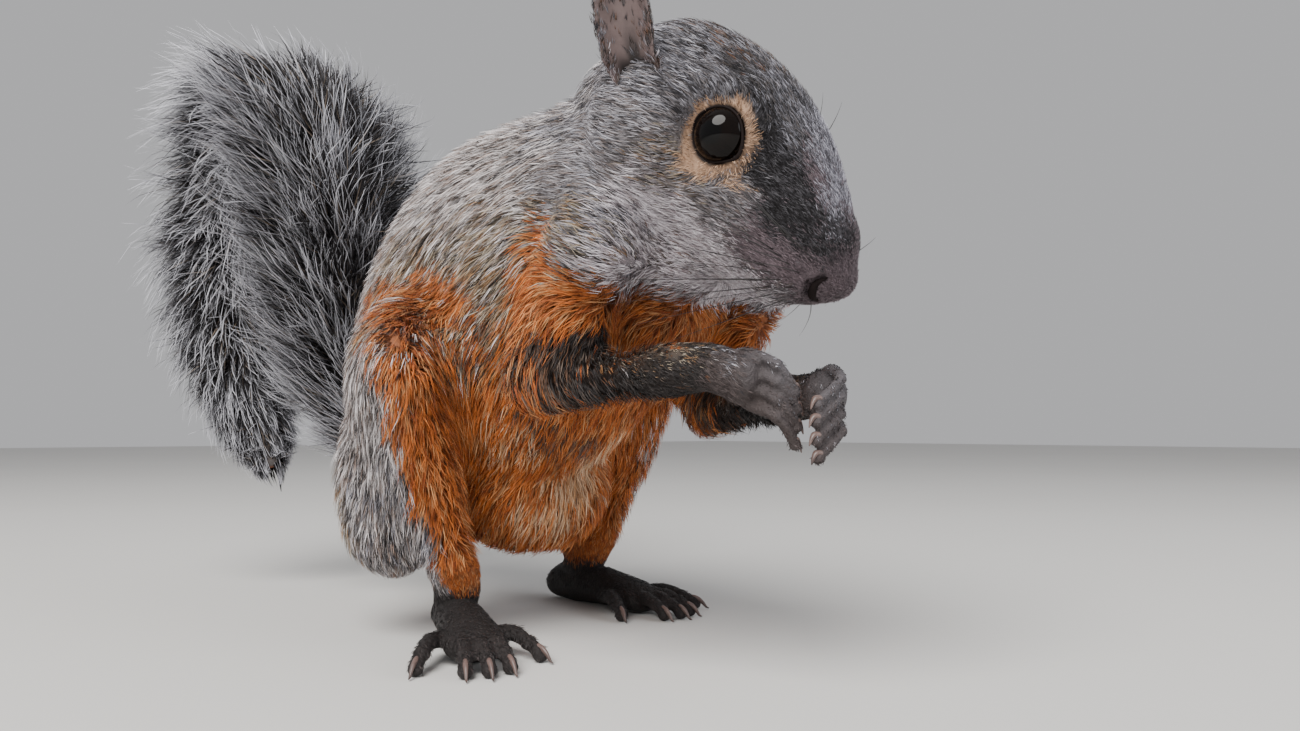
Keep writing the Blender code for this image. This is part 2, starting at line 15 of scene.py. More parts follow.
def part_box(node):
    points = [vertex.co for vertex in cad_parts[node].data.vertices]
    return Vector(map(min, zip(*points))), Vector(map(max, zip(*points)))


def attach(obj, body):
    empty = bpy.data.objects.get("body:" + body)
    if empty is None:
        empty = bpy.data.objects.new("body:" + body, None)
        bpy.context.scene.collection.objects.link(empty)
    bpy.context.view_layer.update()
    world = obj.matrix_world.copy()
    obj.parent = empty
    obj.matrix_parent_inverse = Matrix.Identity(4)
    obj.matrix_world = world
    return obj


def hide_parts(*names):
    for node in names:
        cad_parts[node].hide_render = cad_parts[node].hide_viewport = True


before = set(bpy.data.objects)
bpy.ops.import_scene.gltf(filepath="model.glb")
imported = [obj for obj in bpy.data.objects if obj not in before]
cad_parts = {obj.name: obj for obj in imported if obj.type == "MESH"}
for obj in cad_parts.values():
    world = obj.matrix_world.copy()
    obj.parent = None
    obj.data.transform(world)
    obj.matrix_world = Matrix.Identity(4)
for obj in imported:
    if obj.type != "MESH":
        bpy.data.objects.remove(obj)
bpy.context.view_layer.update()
MM = 0.001

# ---------------------------------------------------------------- the animal's sizes
HEAD_AT = (0.7, -86.7, 105.0)  # midway between the eyes
HEAD_YAW = 23.0  # turned to its left
HEAD_PITCH = 42.0  # nose down
HEAD_ROLL = -8.0  # crown tipped to its right
EYE_RADIUS = 5.6
EYE_SIDE = 12.2
EYE_BACK = 1.0
EAR_LENGTH = 27.0
EAR_WIDTH = 10.8
EAR_CUP = 4.5
EAR_WALL = 1.2
EAR_LEAN = {"right": -40.0, "left": -60.0}
EAR_SPLAY = 14.0
EAR_TURN = 72.0
EAR_BASE = (18.0, 17.6, -4.0)

SIGN = {"right": -1, "left": 1}
SHOULDER = {"right": (-19.0, -62.0, 90.0), "left": (23.0, -62.0, 88.0)}
ELBOW = {"right": (-26.0, -46.0, 59.0), "left": (25.0, -45.0, 54.5)}
WRIST = {"right": (-9.0, -82.0, 62.0), "left": (19.0, -83.0, 57.0)}
KNUCKLE = {"right": (-4.0, -89.0, 59.5), "left": (13.5, -94.0, 57.0)}
FINGERTIP = {"right": (1.0, -95.6, 52.5), "left": (3.6, -98.9, 50.0)}

HIP = {"right": (-17.0, 20.0, 54.0), "left": (19.0, 24.0, 54.0)}
KNEE = {"right": (-42.0, -19.0, 64.0), "left": (43.0, -4.0, 64.0)}
ANKLE = {"right": (-21.0, -9.0, 13.0), "left": (34.0, 15.0, 13.0)}
TOE = {"right": (-32.0, -43.0, 3.0), "left": (38.0, -23.0, 3.0)}

SKIN_GRAIN = 1.03
BODY_TUFTS = 72000
HEAD_TUFTS = 36000
PAW_TUFTS = {"foot": 2600, "hand": 2400}
EAR_TUFTS = 1900
TAIL_LOCKS = 2300
LOCK_HAIRS = 34

# centre x, y, z and half width, half depth down the spine, rump to throat
SPINE = [
    (0, 49, 35, 9, 9),
    (0, 41, 47, 22, 24),
    (0, 28, 66, 31, 45),
    (0, 5, 79, 33, 51),
    (0, -19, 87, 32, 46),
    (0, -40, 94, 29, 38),
    (0, -56, 101, 25, 32),
    (0, -67, 107, 22, 27),
    (0, -77, 110, 19, 23),
]
# tail envelope: centre x, y, z, half width across, half depth
TAIL = [
    (0, 48, 35, 8, 7),
    (-4, 60, 42, 17, 11),
    (-10, 70, 60, 25, 14),
    (-15, 74, 90, 32, 16),
    (-19, 75, 120, 35.5, 17),
    (-23, 80, 146, 36, 18),
    (-29, 92, 158, 34, 18),
    (-34, 105, 147, 31, 16),
    (-38, 110, 120, 29, 13),
    (-38, 109, 90, 26, 12.5),
    (-34, 106, 62, 19, 10.5),
    (-29, 101, 40, 8, 6),
]


def vec(p):
    """A place in metres from one in millimetres."""
    return Vector(p) * MM


def lerp(a, b, t):
    return tuple(p + (q - p) * t for p, q in zip(a, b))


def joints(side):
    """Shoulder, elbow, wrist, hip, knee and ankle of one side."""
    return [joint[side] for joint in (SHOULDER, ELBOW, WRIST, HIP, KNEE, ANKLE)]


def beside(place, side, x, y, z):
    """A place moved outward from the body's middle by x, and by y and z."""
    return (place[0] + x * SIGN[side], place[1] + y, place[2] + z)


def smooth_rows(rows, steps):
    """Rows of numbers run through by a Catmull-Rom curve."""
    out = []
    last = len(rows) - 1
    for i in range(last):
        a = rows[max(i - 1, 0)]
        b = rows[i]
        c = rows[i + 1]
        d = rows[min(i + 2, last)]
        for k in range(steps):
            t = k / steps
            row = []
            for p, q, r, s in zip(a, b, c, d):
                row.append(0.5 * (2 * q + (r - p) * t + (2 * p - 5 * q + 4 * r - s) * t * t
                                  + (3 * q - p - 3 * r + s) * t ** 3))
            out.append(row)
    out.append(list(rows[last]))
    return out


def wall(bm, rings, closed=False):
    """Faces between each ring and the next, and back to the first when closed."""
    for low, high in zip(rings, rings[1:] + (rings[:1] if closed else [])):
        for k in range(len(low)):
            n = (k + 1) % len(low)
            bm.faces.new((low[k], low[n], high[n], high[k]))


def tube(bm, rows, across=(1, 0, 0), sides=20, steps=4, place=None):
    """A closed loft; each row is x, y, z, half width along `across`, half depth."""
    rows = smooth_rows(rows, steps)
    centres = [Vector(r[:3]) for r in rows]
    across = Vector(across)
    rings = []
    for i, row in enumerate(rows):
        ahead = centres[min(i + 1, len(rows) - 1)] - centres[max(i - 1, 0)]
        ahead.normalize()
        side = (across - ahead * across.dot(ahead)).normalized()
        deep = ahead.cross(side)
        ends = []
        if i == 0:
            ends = [(-0.7, 0.45), (-0.45, 0.8)]
        if i == len(rows) - 1:
            ends = [(0.45, 0.8), (0.7, 0.45)]
        levels = [(0.0, 1.0)] + ends if i else ends + [(0.0, 1.0)]
        for shift, grow in levels:
            size = min(row[3], row[4])
            middle = centres[i] + ahead * shift * size
            ring = []
            for k in range(sides):
                turn = 2 * math.pi * k / sides
                point = middle + side * math.cos(turn) * row[3] * grow
                point += deep * math.sin(turn) * row[4] * grow
                point *= MM
                if place:
                    point = place @ point
                ring.append(bm.verts.new(point))
            rings.append(ring)
    wall(bm, rings)
    bm.faces.new(list(reversed(rings[0])))
    bm.faces.new(rings[-1])


def ball(bm, centre, radii, place=None, turn=None):
    """A rounded mass with three half sizes."""
    matrix = Matrix.Translation(vec(centre))
    if turn:
        matrix = matrix @ turn
    matrix = matrix @ Matrix.Diagonal((radii[0] * MM, radii[1] * MM, radii[2] * MM, 1))
    if place:
        matrix = place @ matrix
    bmesh.ops.create_icosphere(bm, subdivisions=3, radius=1.0, matrix=matrix)


def head_place():
    """The turn and place of the head, with its origin midway between the eyes."""
    yaw = Matrix.Rotation(math.radians(HEAD_YAW), 4, "Z")
    pitch = Matrix.Rotation(math.radians(HEAD_PITCH), 4, "X")
    roll = Matrix.Rotation(math.radians(HEAD_ROLL), 4, "Y")
    return Matrix.Translation(vec(HEAD_AT)) @ yaw @ pitch @ roll


HEAD = head_place()


def trunk_masses(bm):
    """Trunk, arms and legs as overlapping lofts, to be fused."""
    tube(bm, SPINE, steps=5, sides=28)
    for side in SIGN:
        shoulder, elbow, wrist, hip, knee, ankle = joints(side)
        tube(bm, [
            lerp(shoulder, (0, -30, 104), 0.45) + (9, 12),
            shoulder + (11, 14),
            lerp(shoulder, elbow, 0.5) + (10, 13),
            elbow + (8, 8.5),
        ])
        tube(bm, [
            elbow + (8, 8.5),
            lerp(elbow, wrist, 0.35) + (7.2, 8),
            lerp(elbow, wrist, 0.7) + (5.6, 6.6),
            wrist + (4.6, 5.2),
            lerp(wrist, KNUCKLE[side], 0.6) + (4.4, 4.4),
        ])
        calf = lerp(knee, ankle, 0.5)
        tube(bm, [
            hip + (16, 28),
            lerp(hip, knee, 0.5) + (17, 27),
            lerp(hip, knee, 0.85) + (13, 20),
            knee + (10, 13),
        ])
        tube(bm, [
            knee + (9.5, 12),
            beside(calf, side, 1, 2, 2) + (10.5, 13),
            lerp(knee, ankle, 0.8) + (7.4, 8.6),
            ankle + (5.6, 7.2),
            beside(ankle, side, 0, 3, -5) + (5, 6.5),
        ])
        haunch = lerp(hip, ankle, 0.45)
        ball(bm, beside(haunch, side, 10, 2, 4), (16, 19, 27))
    ball(bm, (4, 0, 37), (24, 24, 21))


def neck_masses(bm):
    tube(bm, SPINE[5:], steps=5, sides=28)


def head_masses(bm):
    """The skull with its muzzle and jaw."""
    # station along the skull: y, crown z, jaw z, half width
    skull = [
        (-30.5, -5.5, -13.5, 4.4),
        (-28, -2.5, -17.0, 6.6),
        (-24.5, 1.0, -20.0, 8.6),
        (-20, 4.0, -23.5, 10.4),
        (-12, 8.8, -25.5, 12.8),
        (-4, 13.0, -27.0, 15.3),
        (4, 15.8, -28.0, 17.6),
        (12, 16.6, -28.5, 19.2),
        (20, 15.2, -28.5, 19.8),
        (27, 10.5, -28.0, 18.4),
        (33, 2.5, -26.5, 12.5),
    ]
    rows = []
    for y, crown, jaw, half in skull:
        rows.append((0, y, (crown + jaw) / 2, half, (crown - jaw) / 2))
    tube(bm, rows, place=HEAD, sides=32)


# place on the head, reach, and push outward: x is mirrored
HEAD_SWELLS = [
    ((12, 0, 9), 5.5, (1.6, 0, 2.4)),
    ((16, 1, 0), 5.5, (-1.8, 0, 0)),
    ((17, 13, -14), 10.0, (2.6, 0, -1.0)),
    ((10, -14, 0), 5.0, (-0.6, 0, 0)),
    ((7.5, -23, -15), 5.0, (1.2, -0.2, -0.4)),
    ((17, 19, 0), 5.0, (1.2, 0, 0.8)),
]


def shape_head(bm):
    """Brows, eye hollows, cheeks and whisker pads."""
    back = HEAD.inverted()
    for vert in bm.verts:
        p = back @ vert.co / MM
        sign = 1 if p.x > 0 else -1
        move = Vector((0, 0, 0))
        for centre, reach, push in HEAD_SWELLS:
            gap = Vector((abs(p.x), p.y, p.z)) - Vector(centre)
            move += Vector(push) * math.exp(-(gap.length / reach) ** 2)
        move.x *= sign * min(1.0, abs(p.x) / 4.0)
        vert.co = HEAD @ ((p + move) * MM)


def ear_matrix(side):
    """The ear's own frame: x across it, z toward its tip, origin at its base."""
    sign = SIGN[side]
    lean = Matrix.Rotation(math.radians(EAR_LEAN[side]), 4, "X")
    splay = Matrix.Rotation(math.radians(sign * EAR_SPLAY), 4, "Y")
    turn = Matrix.Rotation(math.radians(sign * EAR_TURN), 4, "Z")
    base = Matrix.Translation(vec((sign * EAR_BASE[0], EAR_BASE[1], EAR_BASE[2])))
    return HEAD @ base @ lean @ splay @ turn


def ear_shell(bm, side):
    """A cupped leaf: the hollow side looks outward and a little forward."""
    place = ear_matrix(side)
    rows = 24
    cols = 16
    grids = []
    for layer in (0, 1):
        grid = []
        for i in range(rows + 1):
            v = i / rows
            gather = min(1.0, 0.6 + v / 0.5)
            half = EAR_WIDTH / 2 * (0.75 + 0.5 * v) * math.sqrt(max(1 - v ** 2.6, 0.0)) * gather + 0.3
            row = []
            for k in range(cols + 1):
                u = 2 * k / cols - 1
                cup = (1 - u * u) * EAR_CUP * (1 - 0.5 * v)
                y = cup + layer * EAR_WALL * 0.8 - EAR_CUP / 2
                sink = 5.0 * max(0.0, 0.3 - v) / 0.3
                inward = HEAD.to_3x3() @ vec((-SIGN[side] * sink, 0, 0))
                row.append(bm.verts.new(place @ vec((u * half, y, v * EAR_LENGTH)) + inward))
            grid.append(row)
        grids.append(grid)
    front, back = grids
    for i in range(rows):
        for k in range(cols):
            bm.faces.new((front[i][k], front[i][k + 1], front[i + 1][k + 1], front[i + 1][k]))
            bm.faces.new((back[i][k], back[i + 1][k], back[i + 1][k + 1], back[i][k + 1]))
    for i in range(rows):
        for k in (0, cols):
            a, b = front[i][k], front[i + 1][k]
            c, d = back[i + 1][k], back[i][k]
            bm.faces.new((a, b, c, d) if k == 0 else (d, c, b, a))
    for i in (0, rows):
        for k in range(cols):
            a, b = front[i][k], front[i][k + 1]
            c, d = back[i][k + 1], back[i][k]
            bm.faces.new((d, c, b, a) if i == 0 else (a, b, c, d))


def foot_masses(bm, side):
    """A hind foot on the floor: ankle, sole and five clawed toes."""
    sign = SIGN[side]
    ankle = Vector(ANKLE[side])
    toe = Vector(TOE[side])
    run = toe - ankle
    run.z = 0
    run.normalize()
    out = Vector((-run.y, run.x, 0)) * sign  # away from the body's middle
    if out.x * sign < 0:
        out = -out
    length = (Vector((toe.x, toe.y, 0)) - Vector((ankle.x, ankle.y, 0))).length
    base = Vector((ankle.x, ankle.y, 0))

    def at(along, aside, high):
        return tuple(base + run * along + out * aside + Vector((0, 0, high)))

    knee = KNEE[side]
    tube(bm, [
        lerp(knee, ANKLE[side], 0.84) + (4.6, 5.8),
        ANKLE[side] + (4.8, 6.2),
        at(-3, 0, 8) + (5, 6.5),
    ])
    tube(bm, [
        at(-12, 0, 4.5) + (4.4, 4.6),
        at(-4, 0, 6.0) + (5.2, 6.6),
        at(6, 0, 5.6) + (5.8, 5.8),
        at(length - 20, 0, 4.6) + (7.0, 4.6),
        at(length - 13, 0, 3.6) + (7.4, 3.8),
    ], across=tuple(out))
    # each toe's place across the foot, and how far it ends behind the middle one
    spread = [(-1.15, -9), (-0.5, -1.5), (0.0, 0.0), (0.5, -1.0), (1.2, -7)]
    for place, back in spread:
        aside = place * 6.4
        reach = length + back
        splay = place * 3.0
        if abs(place) > 1:
            splay = place * 5.0
        digit(bm, [
            at(reach - 15, aside * 0.8, 3.8),
            at(reach - 9, aside + splay * 0.3, 4.9),
            at(reach - 4, aside + splay * 0.7, 3.6),
            at(reach - 0.5, aside + splay, 1.9),
        ], 2.1, 5.2, across=tuple(out))


def hand_masses(bm, side):
    """A fore paw: wrist, palm and four clawed fingers bent toward the other hand."""
    sign = SIGN[side]
    wrist = Vector(WRIST[side])
    knuckle = Vector(KNUCKLE[side])
    tip = Vector(FINGERTIP[side])
    elbow = ELBOW[side]
    tube(bm, [
        lerp(elbow, WRIST[side], 0.82) + (4.2, 5.0),
        WRIST[side] + (4.2, 4.9),
        lerp(WRIST[side], KNUCKLE[side], 0.6) + (4.4, 4.8),
    ])
    ball(bm, lerp(WRIST[side], KNUCKLE[side], 0.75), (4.2, 5.2, 5.6))
    down = Vector((0, 0, -1))
    inward = Vector((-sign, 0, 0))
    for i in range(4):
        place = i - 1.5  # first finger on top, fourth below
        root = knuckle + down * place * 3.2
        end = tip + down * place * 3.35 + inward * (0.8 - 0.5 * abs(place))
        bend = root.lerp(end, 0.5) + Vector((0, -2.6, 1.2)) - inward * 1.6
        joints = [wrist.lerp(root, 0.7), root, bend, end]
        digit(bm, [tuple(joint) for joint in joints], 1.5, 2.6, across=(0, 0, 1))


# ---------------------------------------------------------------- meshes
def middle_of(node):
    """The middle of a CAD node's box, in metres."""
    low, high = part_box(node)
    return (Vector(low) + Vector(high)) / 2


# from the animal's own frame to the row's, found from where its right eye lies
SET_DOWN = middle_of("eye_right") - HEAD @ vec((-EYE_SIDE, EYE_BACK, 0))
FLESH = [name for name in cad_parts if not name.startswith("eye")]
luck = np.random.default_rng(7)


def placed(name, data):
    obj = bpy.data.objects.new(name, data)
    bpy.context.scene.collection.objects.link(obj)
    return obj


def mesh_object(name, bm):
    mesh = bpy.data.meshes.new(name)
    bm.to_mesh(mesh)
    bm.free()
    return placed(name, mesh)


def smooth_object(name, bm):
    obj = mesh_object(name, bm)
    obj.data.polygons.foreach_set("use_smooth", np.ones(len(obj.data.polygons), dtype=bool))
    return obj


def read(items, key, width, kind=np.float32):
    """One row of `width` numbers for each item of a mesh."""
    values = np.empty(len(items) * width, dtype=kind)
    items.foreach_get(key, values)
    return values.reshape(-1, width)


def paint_pelt(mesh, colours):
    """The hair's or the skin's own colour at each vertex."""
    rgba = np.ones((len(mesh.vertices), 4), dtype=np.float32)
    rgba[:, :3] = colours.reshape(-1, 3)
    mesh.color_attributes.new("pelt", "FLOAT_COLOR", "POINT").data.foreach_set("color", rgba.ravel())


def modified(obj, settings):
    """The object's mesh after the given modifiers, as a new bmesh; the object is removed."""
    for kind, values in settings:
        modifier = obj.modifiers.new(kind.title(), kind)
        for key, value in values.items():
            setattr(modifier, key, value)
    graph = bpy.context.evaluated_depsgraph_get()
    mesh = bpy.data.meshes.new_from_object(obj.evaluated_get(graph))
    bm = bmesh.new()
    bm.from_mesh(mesh)
    bpy.data.objects.remove(obj)
    bpy.data.meshes.remove(mesh)
    return bm


def fused(bm, grain, rounds):
    """The masses as one even surface, `grain` millimetres fine."""
    bmesh.ops.recalc_face_normals(bm, faces=bm.faces)
    return modified(mesh_object("masses", bm), [
        ("REMESH", {"mode": "VOXEL", "voxel_size": grain * MM}),
        ("SMOOTH", {"factor": 0.5, "iterations": rounds}),
    ])


def joined(parts):
    bm = bmesh.new()
    for part in parts:
        mesh = bpy.data.meshes.new("part")
        part.to_mesh(mesh)
        part.free()
        bm.from_mesh(mesh)
        bpy.data.meshes.remove(mesh)
    return bm


def points_of(bm):
    return np.array([v.co[:] for v in bm.verts]) / MM


def normals_of(bm):
    bm.normal_update()
    return np.array([v.normal[:] for v in bm.verts])


def put_points(bm, points):
    for vert, point in zip(bm.verts, points):
        vert.co = Vector(point) * MM


def smoothed(bm, verts, factor):
    bmesh.ops.smooth_vert(bm, verts=verts, factor=factor, use_axis_x=True, use_axis_y=True, use_axis_z=True)


def unit(v):
    return v / (np.linalg.norm(v, axis=-1, keepdims=True) + 1e-12)


def smoothstep(low, high, x):
    t = np.clip((x - low) / (high - low), 0, 1)
    return t * t * (3 - 2 * t)


def carried(matrix, points):
    """Millimetre points moved by a matrix whose own place is in metres."""
    matrix = np.array(matrix)
    return (points * MM) @ matrix[:3, :3].T / MM + matrix[:3, 3] / MM


def head_frame(points):
    """Points in the head's own frame: x to its left, y to its back, z to its crown."""
    return carried(HEAD.inverted(), points)


def near(points, a, b):
    """Distance from points to the segment a-b, and how far along it."""
    a = np.array(a, float)
    run = np.array(b, float) - a
    t = np.clip(((points - a) @ run) / (run @ run), 0, 1)
    return np.linalg.norm(points - a - t[:, None] * run, axis=1), t


def mirror(local):
    """The same points with both sides of the head on its left."""
    return np.concatenate([np.abs(local[:, :1]), local[:, 1:]], axis=1)


def eye_gap(local):
    """How far each point in the head's frame lies from the line through both eyes."""
    return np.hypot(local[:, 1] - EYE_BACK, local[:, 2])


# ---------------------------------------------------------------- skin
def head_share(points, lower=0.0):
    """1 on the head, falling to 0 behind the ears and below the jaw, `lower` millimetres farther down."""
    local = head_frame(points)
    y = local[:, 1]
    jaw = np.interp(y, (-31, -24.5, -12, 12, 36), (-13.5, -20, -25.5, -28.5, -27)) - lower
    soft = np.interp(y, (-24, 4), (3, 11))
    return smoothstep(-1, -0.15, (local[:, 2] - jaw) / soft) * smoothstep(40, 24, y)


def limb_reach(points):
    """How near each point is to a wrist or an ankle: 0 far, 1 at the paw."""
    close = np.zeros(len(points))
    for side in SIGN:
        for joint, end, reach in ((WRIST, KNUCKLE, 22), (ANKLE, TOE, 15)):
            distance, _ = near(points, joint[side], end[side])
            close = np.maximum(close, smoothstep(reach, 7, distance))
    return close


def coat_depth(points):
    """How far the coat's tips stand over the skin, in millimetres."""
    local = head_frame(points)
    depth = np.full(len(points), 4.6)
    on_head = head_share(points)
    head_depth = 0.7 + 1.1 * smoothstep(-24, 10, local[:, 1]) + 1.4 * smoothstep(-4, -22, local[:, 2]) \
        * smoothstep(-12, 14, local[:, 1])
    depth += (head_depth - depth) * on_head
    paw = limb_reach(points)
    depth += (0.5 - depth) * paw
    low = smoothstep(34, 14, points[:, 2]) * (np.abs(points[:, 0]) > 12)
    depth += (2.2 - depth) * low * (1 - paw)
    return depth


def eye_bed(local):
    """Push the skin under the globe and raise a soft rim of lids round it."""
    r = eye_gap(local)
    cap = EYE_SIDE + np.sqrt(np.clip(EYE_RADIUS ** 2 - r ** 2, 0, None))
    level = EYE_SIDE + 2.3
    lift = smoothstep(9.5, 5.2, r)
    for sign in (-1, 1):
        out = local[:, 0] * sign
        facing = out > 4
        under = facing & (r < 5.0)
        out = np.where(under, np.minimum(out, cap - 1.2), out)
        rim = facing & (r >= 5.0) & (r < 9.5)
        out = np.where(rim, out + (level - out) * lift * 0.85, out)
        local[:, 0] = np.where(facing, out * sign, local[:, 0])
    return local


def muzzle_folds(local):
    """Nostrils, the cleft under the nose and the line of the mouth, pressed into the skin."""
    move = np.zeros_like(local)
    side = np.sign(local[:, 0]) + (local[:, 0] == 0)
    both = mirror(local)
    for a, b, width, push in NOSTRIL_AND_MOUTH:
        distance, _ = near(both, a, b)
        amount = np.exp(-(distance / width) ** 2)
        move += np.stack([side * push[0] * amount, push[1] * amount, push[2] * amount], axis=1)
    return local + move


# line start, line end, half width and push, in the head's frame; x is mirrored
NOSTRIL_AND_MOUTH = [
    ((5.3, -28.6, -10.0), (5.8, -27.6, -12.4), 0.75, (-1.3, 1.3, 0.2)),
    ((5.8, -27.6, -12.4), (4.6, -28.6, -15.0), 0.85, (-1.2, 1.4, 0.5)),
    ((4.6, -28.6, -15.0), (3.0, -30.0, -14.8), 0.6, (-0.5, 1.2, 0.3)),
    ((0.0, -31.5, -14.0), (0.0, -29.5, -18.0), 0.7, (0.0, 1.0, 0.5)),
    ((0.0, -28.0, -19.5), (4.5, -24.0, -21.5), 0.8, (-0.3, 0.3, 1.3)),
    ((4.5, -24.0, -21.5), (8.0, -18.0, -22.0), 0.8, (-1.0, 0.0, 0.9)),
]


def body_skin():
    """One skin for head, neck, trunk and limbs and the tail's core, inside the solids by the coat's depth."""
    trunk = bmesh.new()
    trunk_masses(trunk)
    trunk = fused(trunk, 1.2, 16)
    face = bmesh.new()
    neck_masses(face)
    head_masses(face)
    face = fused(face, 0.6, 14)
    shape_head(face)
    even_muzzle(face)
    core = bmesh.new()
    tube(core, [(x, y, z, 3.0 + 0.11 * w, 2.4 + 0.12 * d) for x, y, z, w, d in TAIL], steps=4, sides=16)
    bm = joined([trunk, face, core])
    bm = fused(bm, SKIN_GRAIN, 2)
    fine_near_face(bm)
    points = points_of(bm)
    normals = normals_of(bm)
    tail = tail_share(points)
    points -= normals * (coat_depth(points) * (1 - tail))[:, None]
    local = head_frame(points)
    on_head = (local[:, 1] < 24) & (local[:, 2] > -34) & (tail < 0.5)
    local[on_head] = muzzle_folds(eye_bed(local[on_head]))
    points[on_head] = carried(HEAD, local[on_head])
    put_points(bm, points)
    smoothed(bm, bm.verts, 0.25)
    return bm


def even_muzzle(bm):
    """Take the ripples out of the muzzle and fill it out again to a blunt, full end."""
    local = head_frame(points_of(bm))
    bm.verts.ensure_lookup_table()
    front = [bm.verts[i] for i in np.flatnonzero((local[:, 1] < -15) & (local[:, 2] > -27))]
    for _ in range(60):
        smoothed(bm, front, 0.5)
    local = head_frame(points_of(bm))
    fill = 0.7 * smoothstep(-24, -29, local[:, 1]) * smoothstep(-23, -16, local[:, 2])
    fill += 0.9 * patch(local, (0, -22, -1), (7, 6, 5), 0.6)
    put_points(bm, points_of(bm) + normals_of(bm) * fill[:, None])


def fine_near_face(bm):
    """Split the faces round the muzzle and the eyes so that the small folds can form."""
    local = head_frame(points_of(bm))
    bm.verts.index_update()
    eye = (eye_gap(local) < 10) & (np.abs(local[:, 0]) > 6)
    fine = (local[:, 1] < 12) & (local[:, 2] > -30) & ((local[:, 1] < -16) | eye)
    edges = [e for e in bm.edges if fine[e.verts[0].index] and fine[e.verts[1].index]]
    bmesh.ops.subdivide_edges(bm, edges=edges, cuts=1, use_grid_fill=True)
    bmesh.ops.triangulate(bm, faces=[f for f in bm.faces if len(f.verts) > 4])


def tail_share(points):
    """1 on the tail past its root, 0 on the body."""
    nearest = np.full(len(points), 1e9)
    for a, b in zip(TAIL[1:], TAIL[2:]):
        distance, _ = near(points, a[:3], b[:3])
        nearest = np.minimum(nearest, distance)
    return smoothstep(16, 10, nearest) * smoothstep(50, 60, points[:, 1])


CLAWS = []


def digit(bm, points, thick, claw, across=(1, 0, 0)):
    """A jointed finger or toe with a round pad at its tip; its claw is kept for later."""
    swell = [1.0, 1.04, 0.86, 0.9]
    rows = [tuple(p) + (thick * grow, thick * grow) for p, grow in zip(points, swell)]
    tube(bm, rows, across=across, sides=14, steps=4)
    for p in points[1:3]:
        ball(bm, p, (thick * 1.06, thick * 1.06, thick * 0.98))
    tip = Vector(points[-1])
    ahead = (tip - Vector(points[-2])).normalized()
    up = Vector((0, 0, 1))
    if abs(ahead.z) > 0.9:
        up = Vector((0, -1, 0))
    ball(bm, tip - up * thick * 0.25, (thick * 0.95, thick * 1.05, thick * 0.85))
    CLAWS.append((tip + up * thick * 0.35, ahead, up, claw, across))


def claw_horns():
    """Hooked claws, deep at the root and ending in a fine point."""
    bm = bmesh.new()
    for start, ahead, up, length, across in CLAWS:
        rows = []
        for k in range(7):
            t = k / 6
            at = start + ahead * length * (t - 0.15) + up * (0.9 * math.sin(2.6 * t) - 0.34 * length * t * t)
            at.z = max(at.z, 0.45)
            size = (1 - t) ** 0.75
            rows.append(tuple(at) + (0.12 + 0.62 * size, 0.12 + 0.9 * size))
        tube(bm, rows, across=across, sides=10, steps=2)
    return outward_piece("claws", bm)


def mark_claws(obj):
    """How far each place lies toward its claw's tip."""
    along = []
    for point in vertices_of(obj):
        gaps = [(Vector(point) - start, ahead, length) for start, ahead, _, length, _ in CLAWS]
        along.append(min(gap.dot(ahead) / length for gap, ahead, length in gaps if gap.length < length * 1.3))
    paint(obj, "toward_tip", np.clip(along, 0, 1) ** 1.5)


def paw_skins():
    """Four finer skins: each side's foot, then its hand."""
    parts = []
    for side in SIGN:
        foot = bmesh.new()
        foot_masses(foot, side)
        foot = fused(foot, 0.45, 4)
        hand = bmesh.new()
        hand_masses(hand, side)
        hand = fused(hand, 0.32, 2)
        for paw in (foot, hand):
            points = points_of(paw)
            points -= normals_of(paw) * 0.35
            points[:, 2] = np.maximum(points[:, 2], 0.0)
            put_points(paw, points)
            parts.append(paw)
    return parts


def ear_skins():
    parts = []
    for side in SIGN:
        ear = bmesh.new()
        ear_shell(ear, side)
        bmesh.ops.recalc_face_normals(ear, faces=ear.faces)
        parts.append(fused(ear, 0.4, 3))
    return parts


# ---------------------------------------------------------------- markings
def wander(points, size=3.0):
    """Points shifted by a slow wave, so that the edges of the markings run unevenly."""
    x, y, z = points.T
    wave = np.stack([
        np.sin(0.31 * y + 0.17 * z) + np.sin(0.83 * z + 0.4 * x),
        np.sin(0.27 * z - 0.21 * x) + np.sin(0.71 * x + 0.5 * y),
        np.sin(0.23 * x + 0.29 * y) + np.sin(0.77 * y - 0.6 * z),
    ], axis=1)
    return points + wave * size * 0.5


def patch(points, centre, radii, soft=0.3):
    """1 inside a rounded patch, falling to 0 past its edge."""
    far = np.linalg.norm((points - np.array(centre)) / np.array(radii), axis=1)
    return smoothstep(1 + soft, 1 - soft, far)


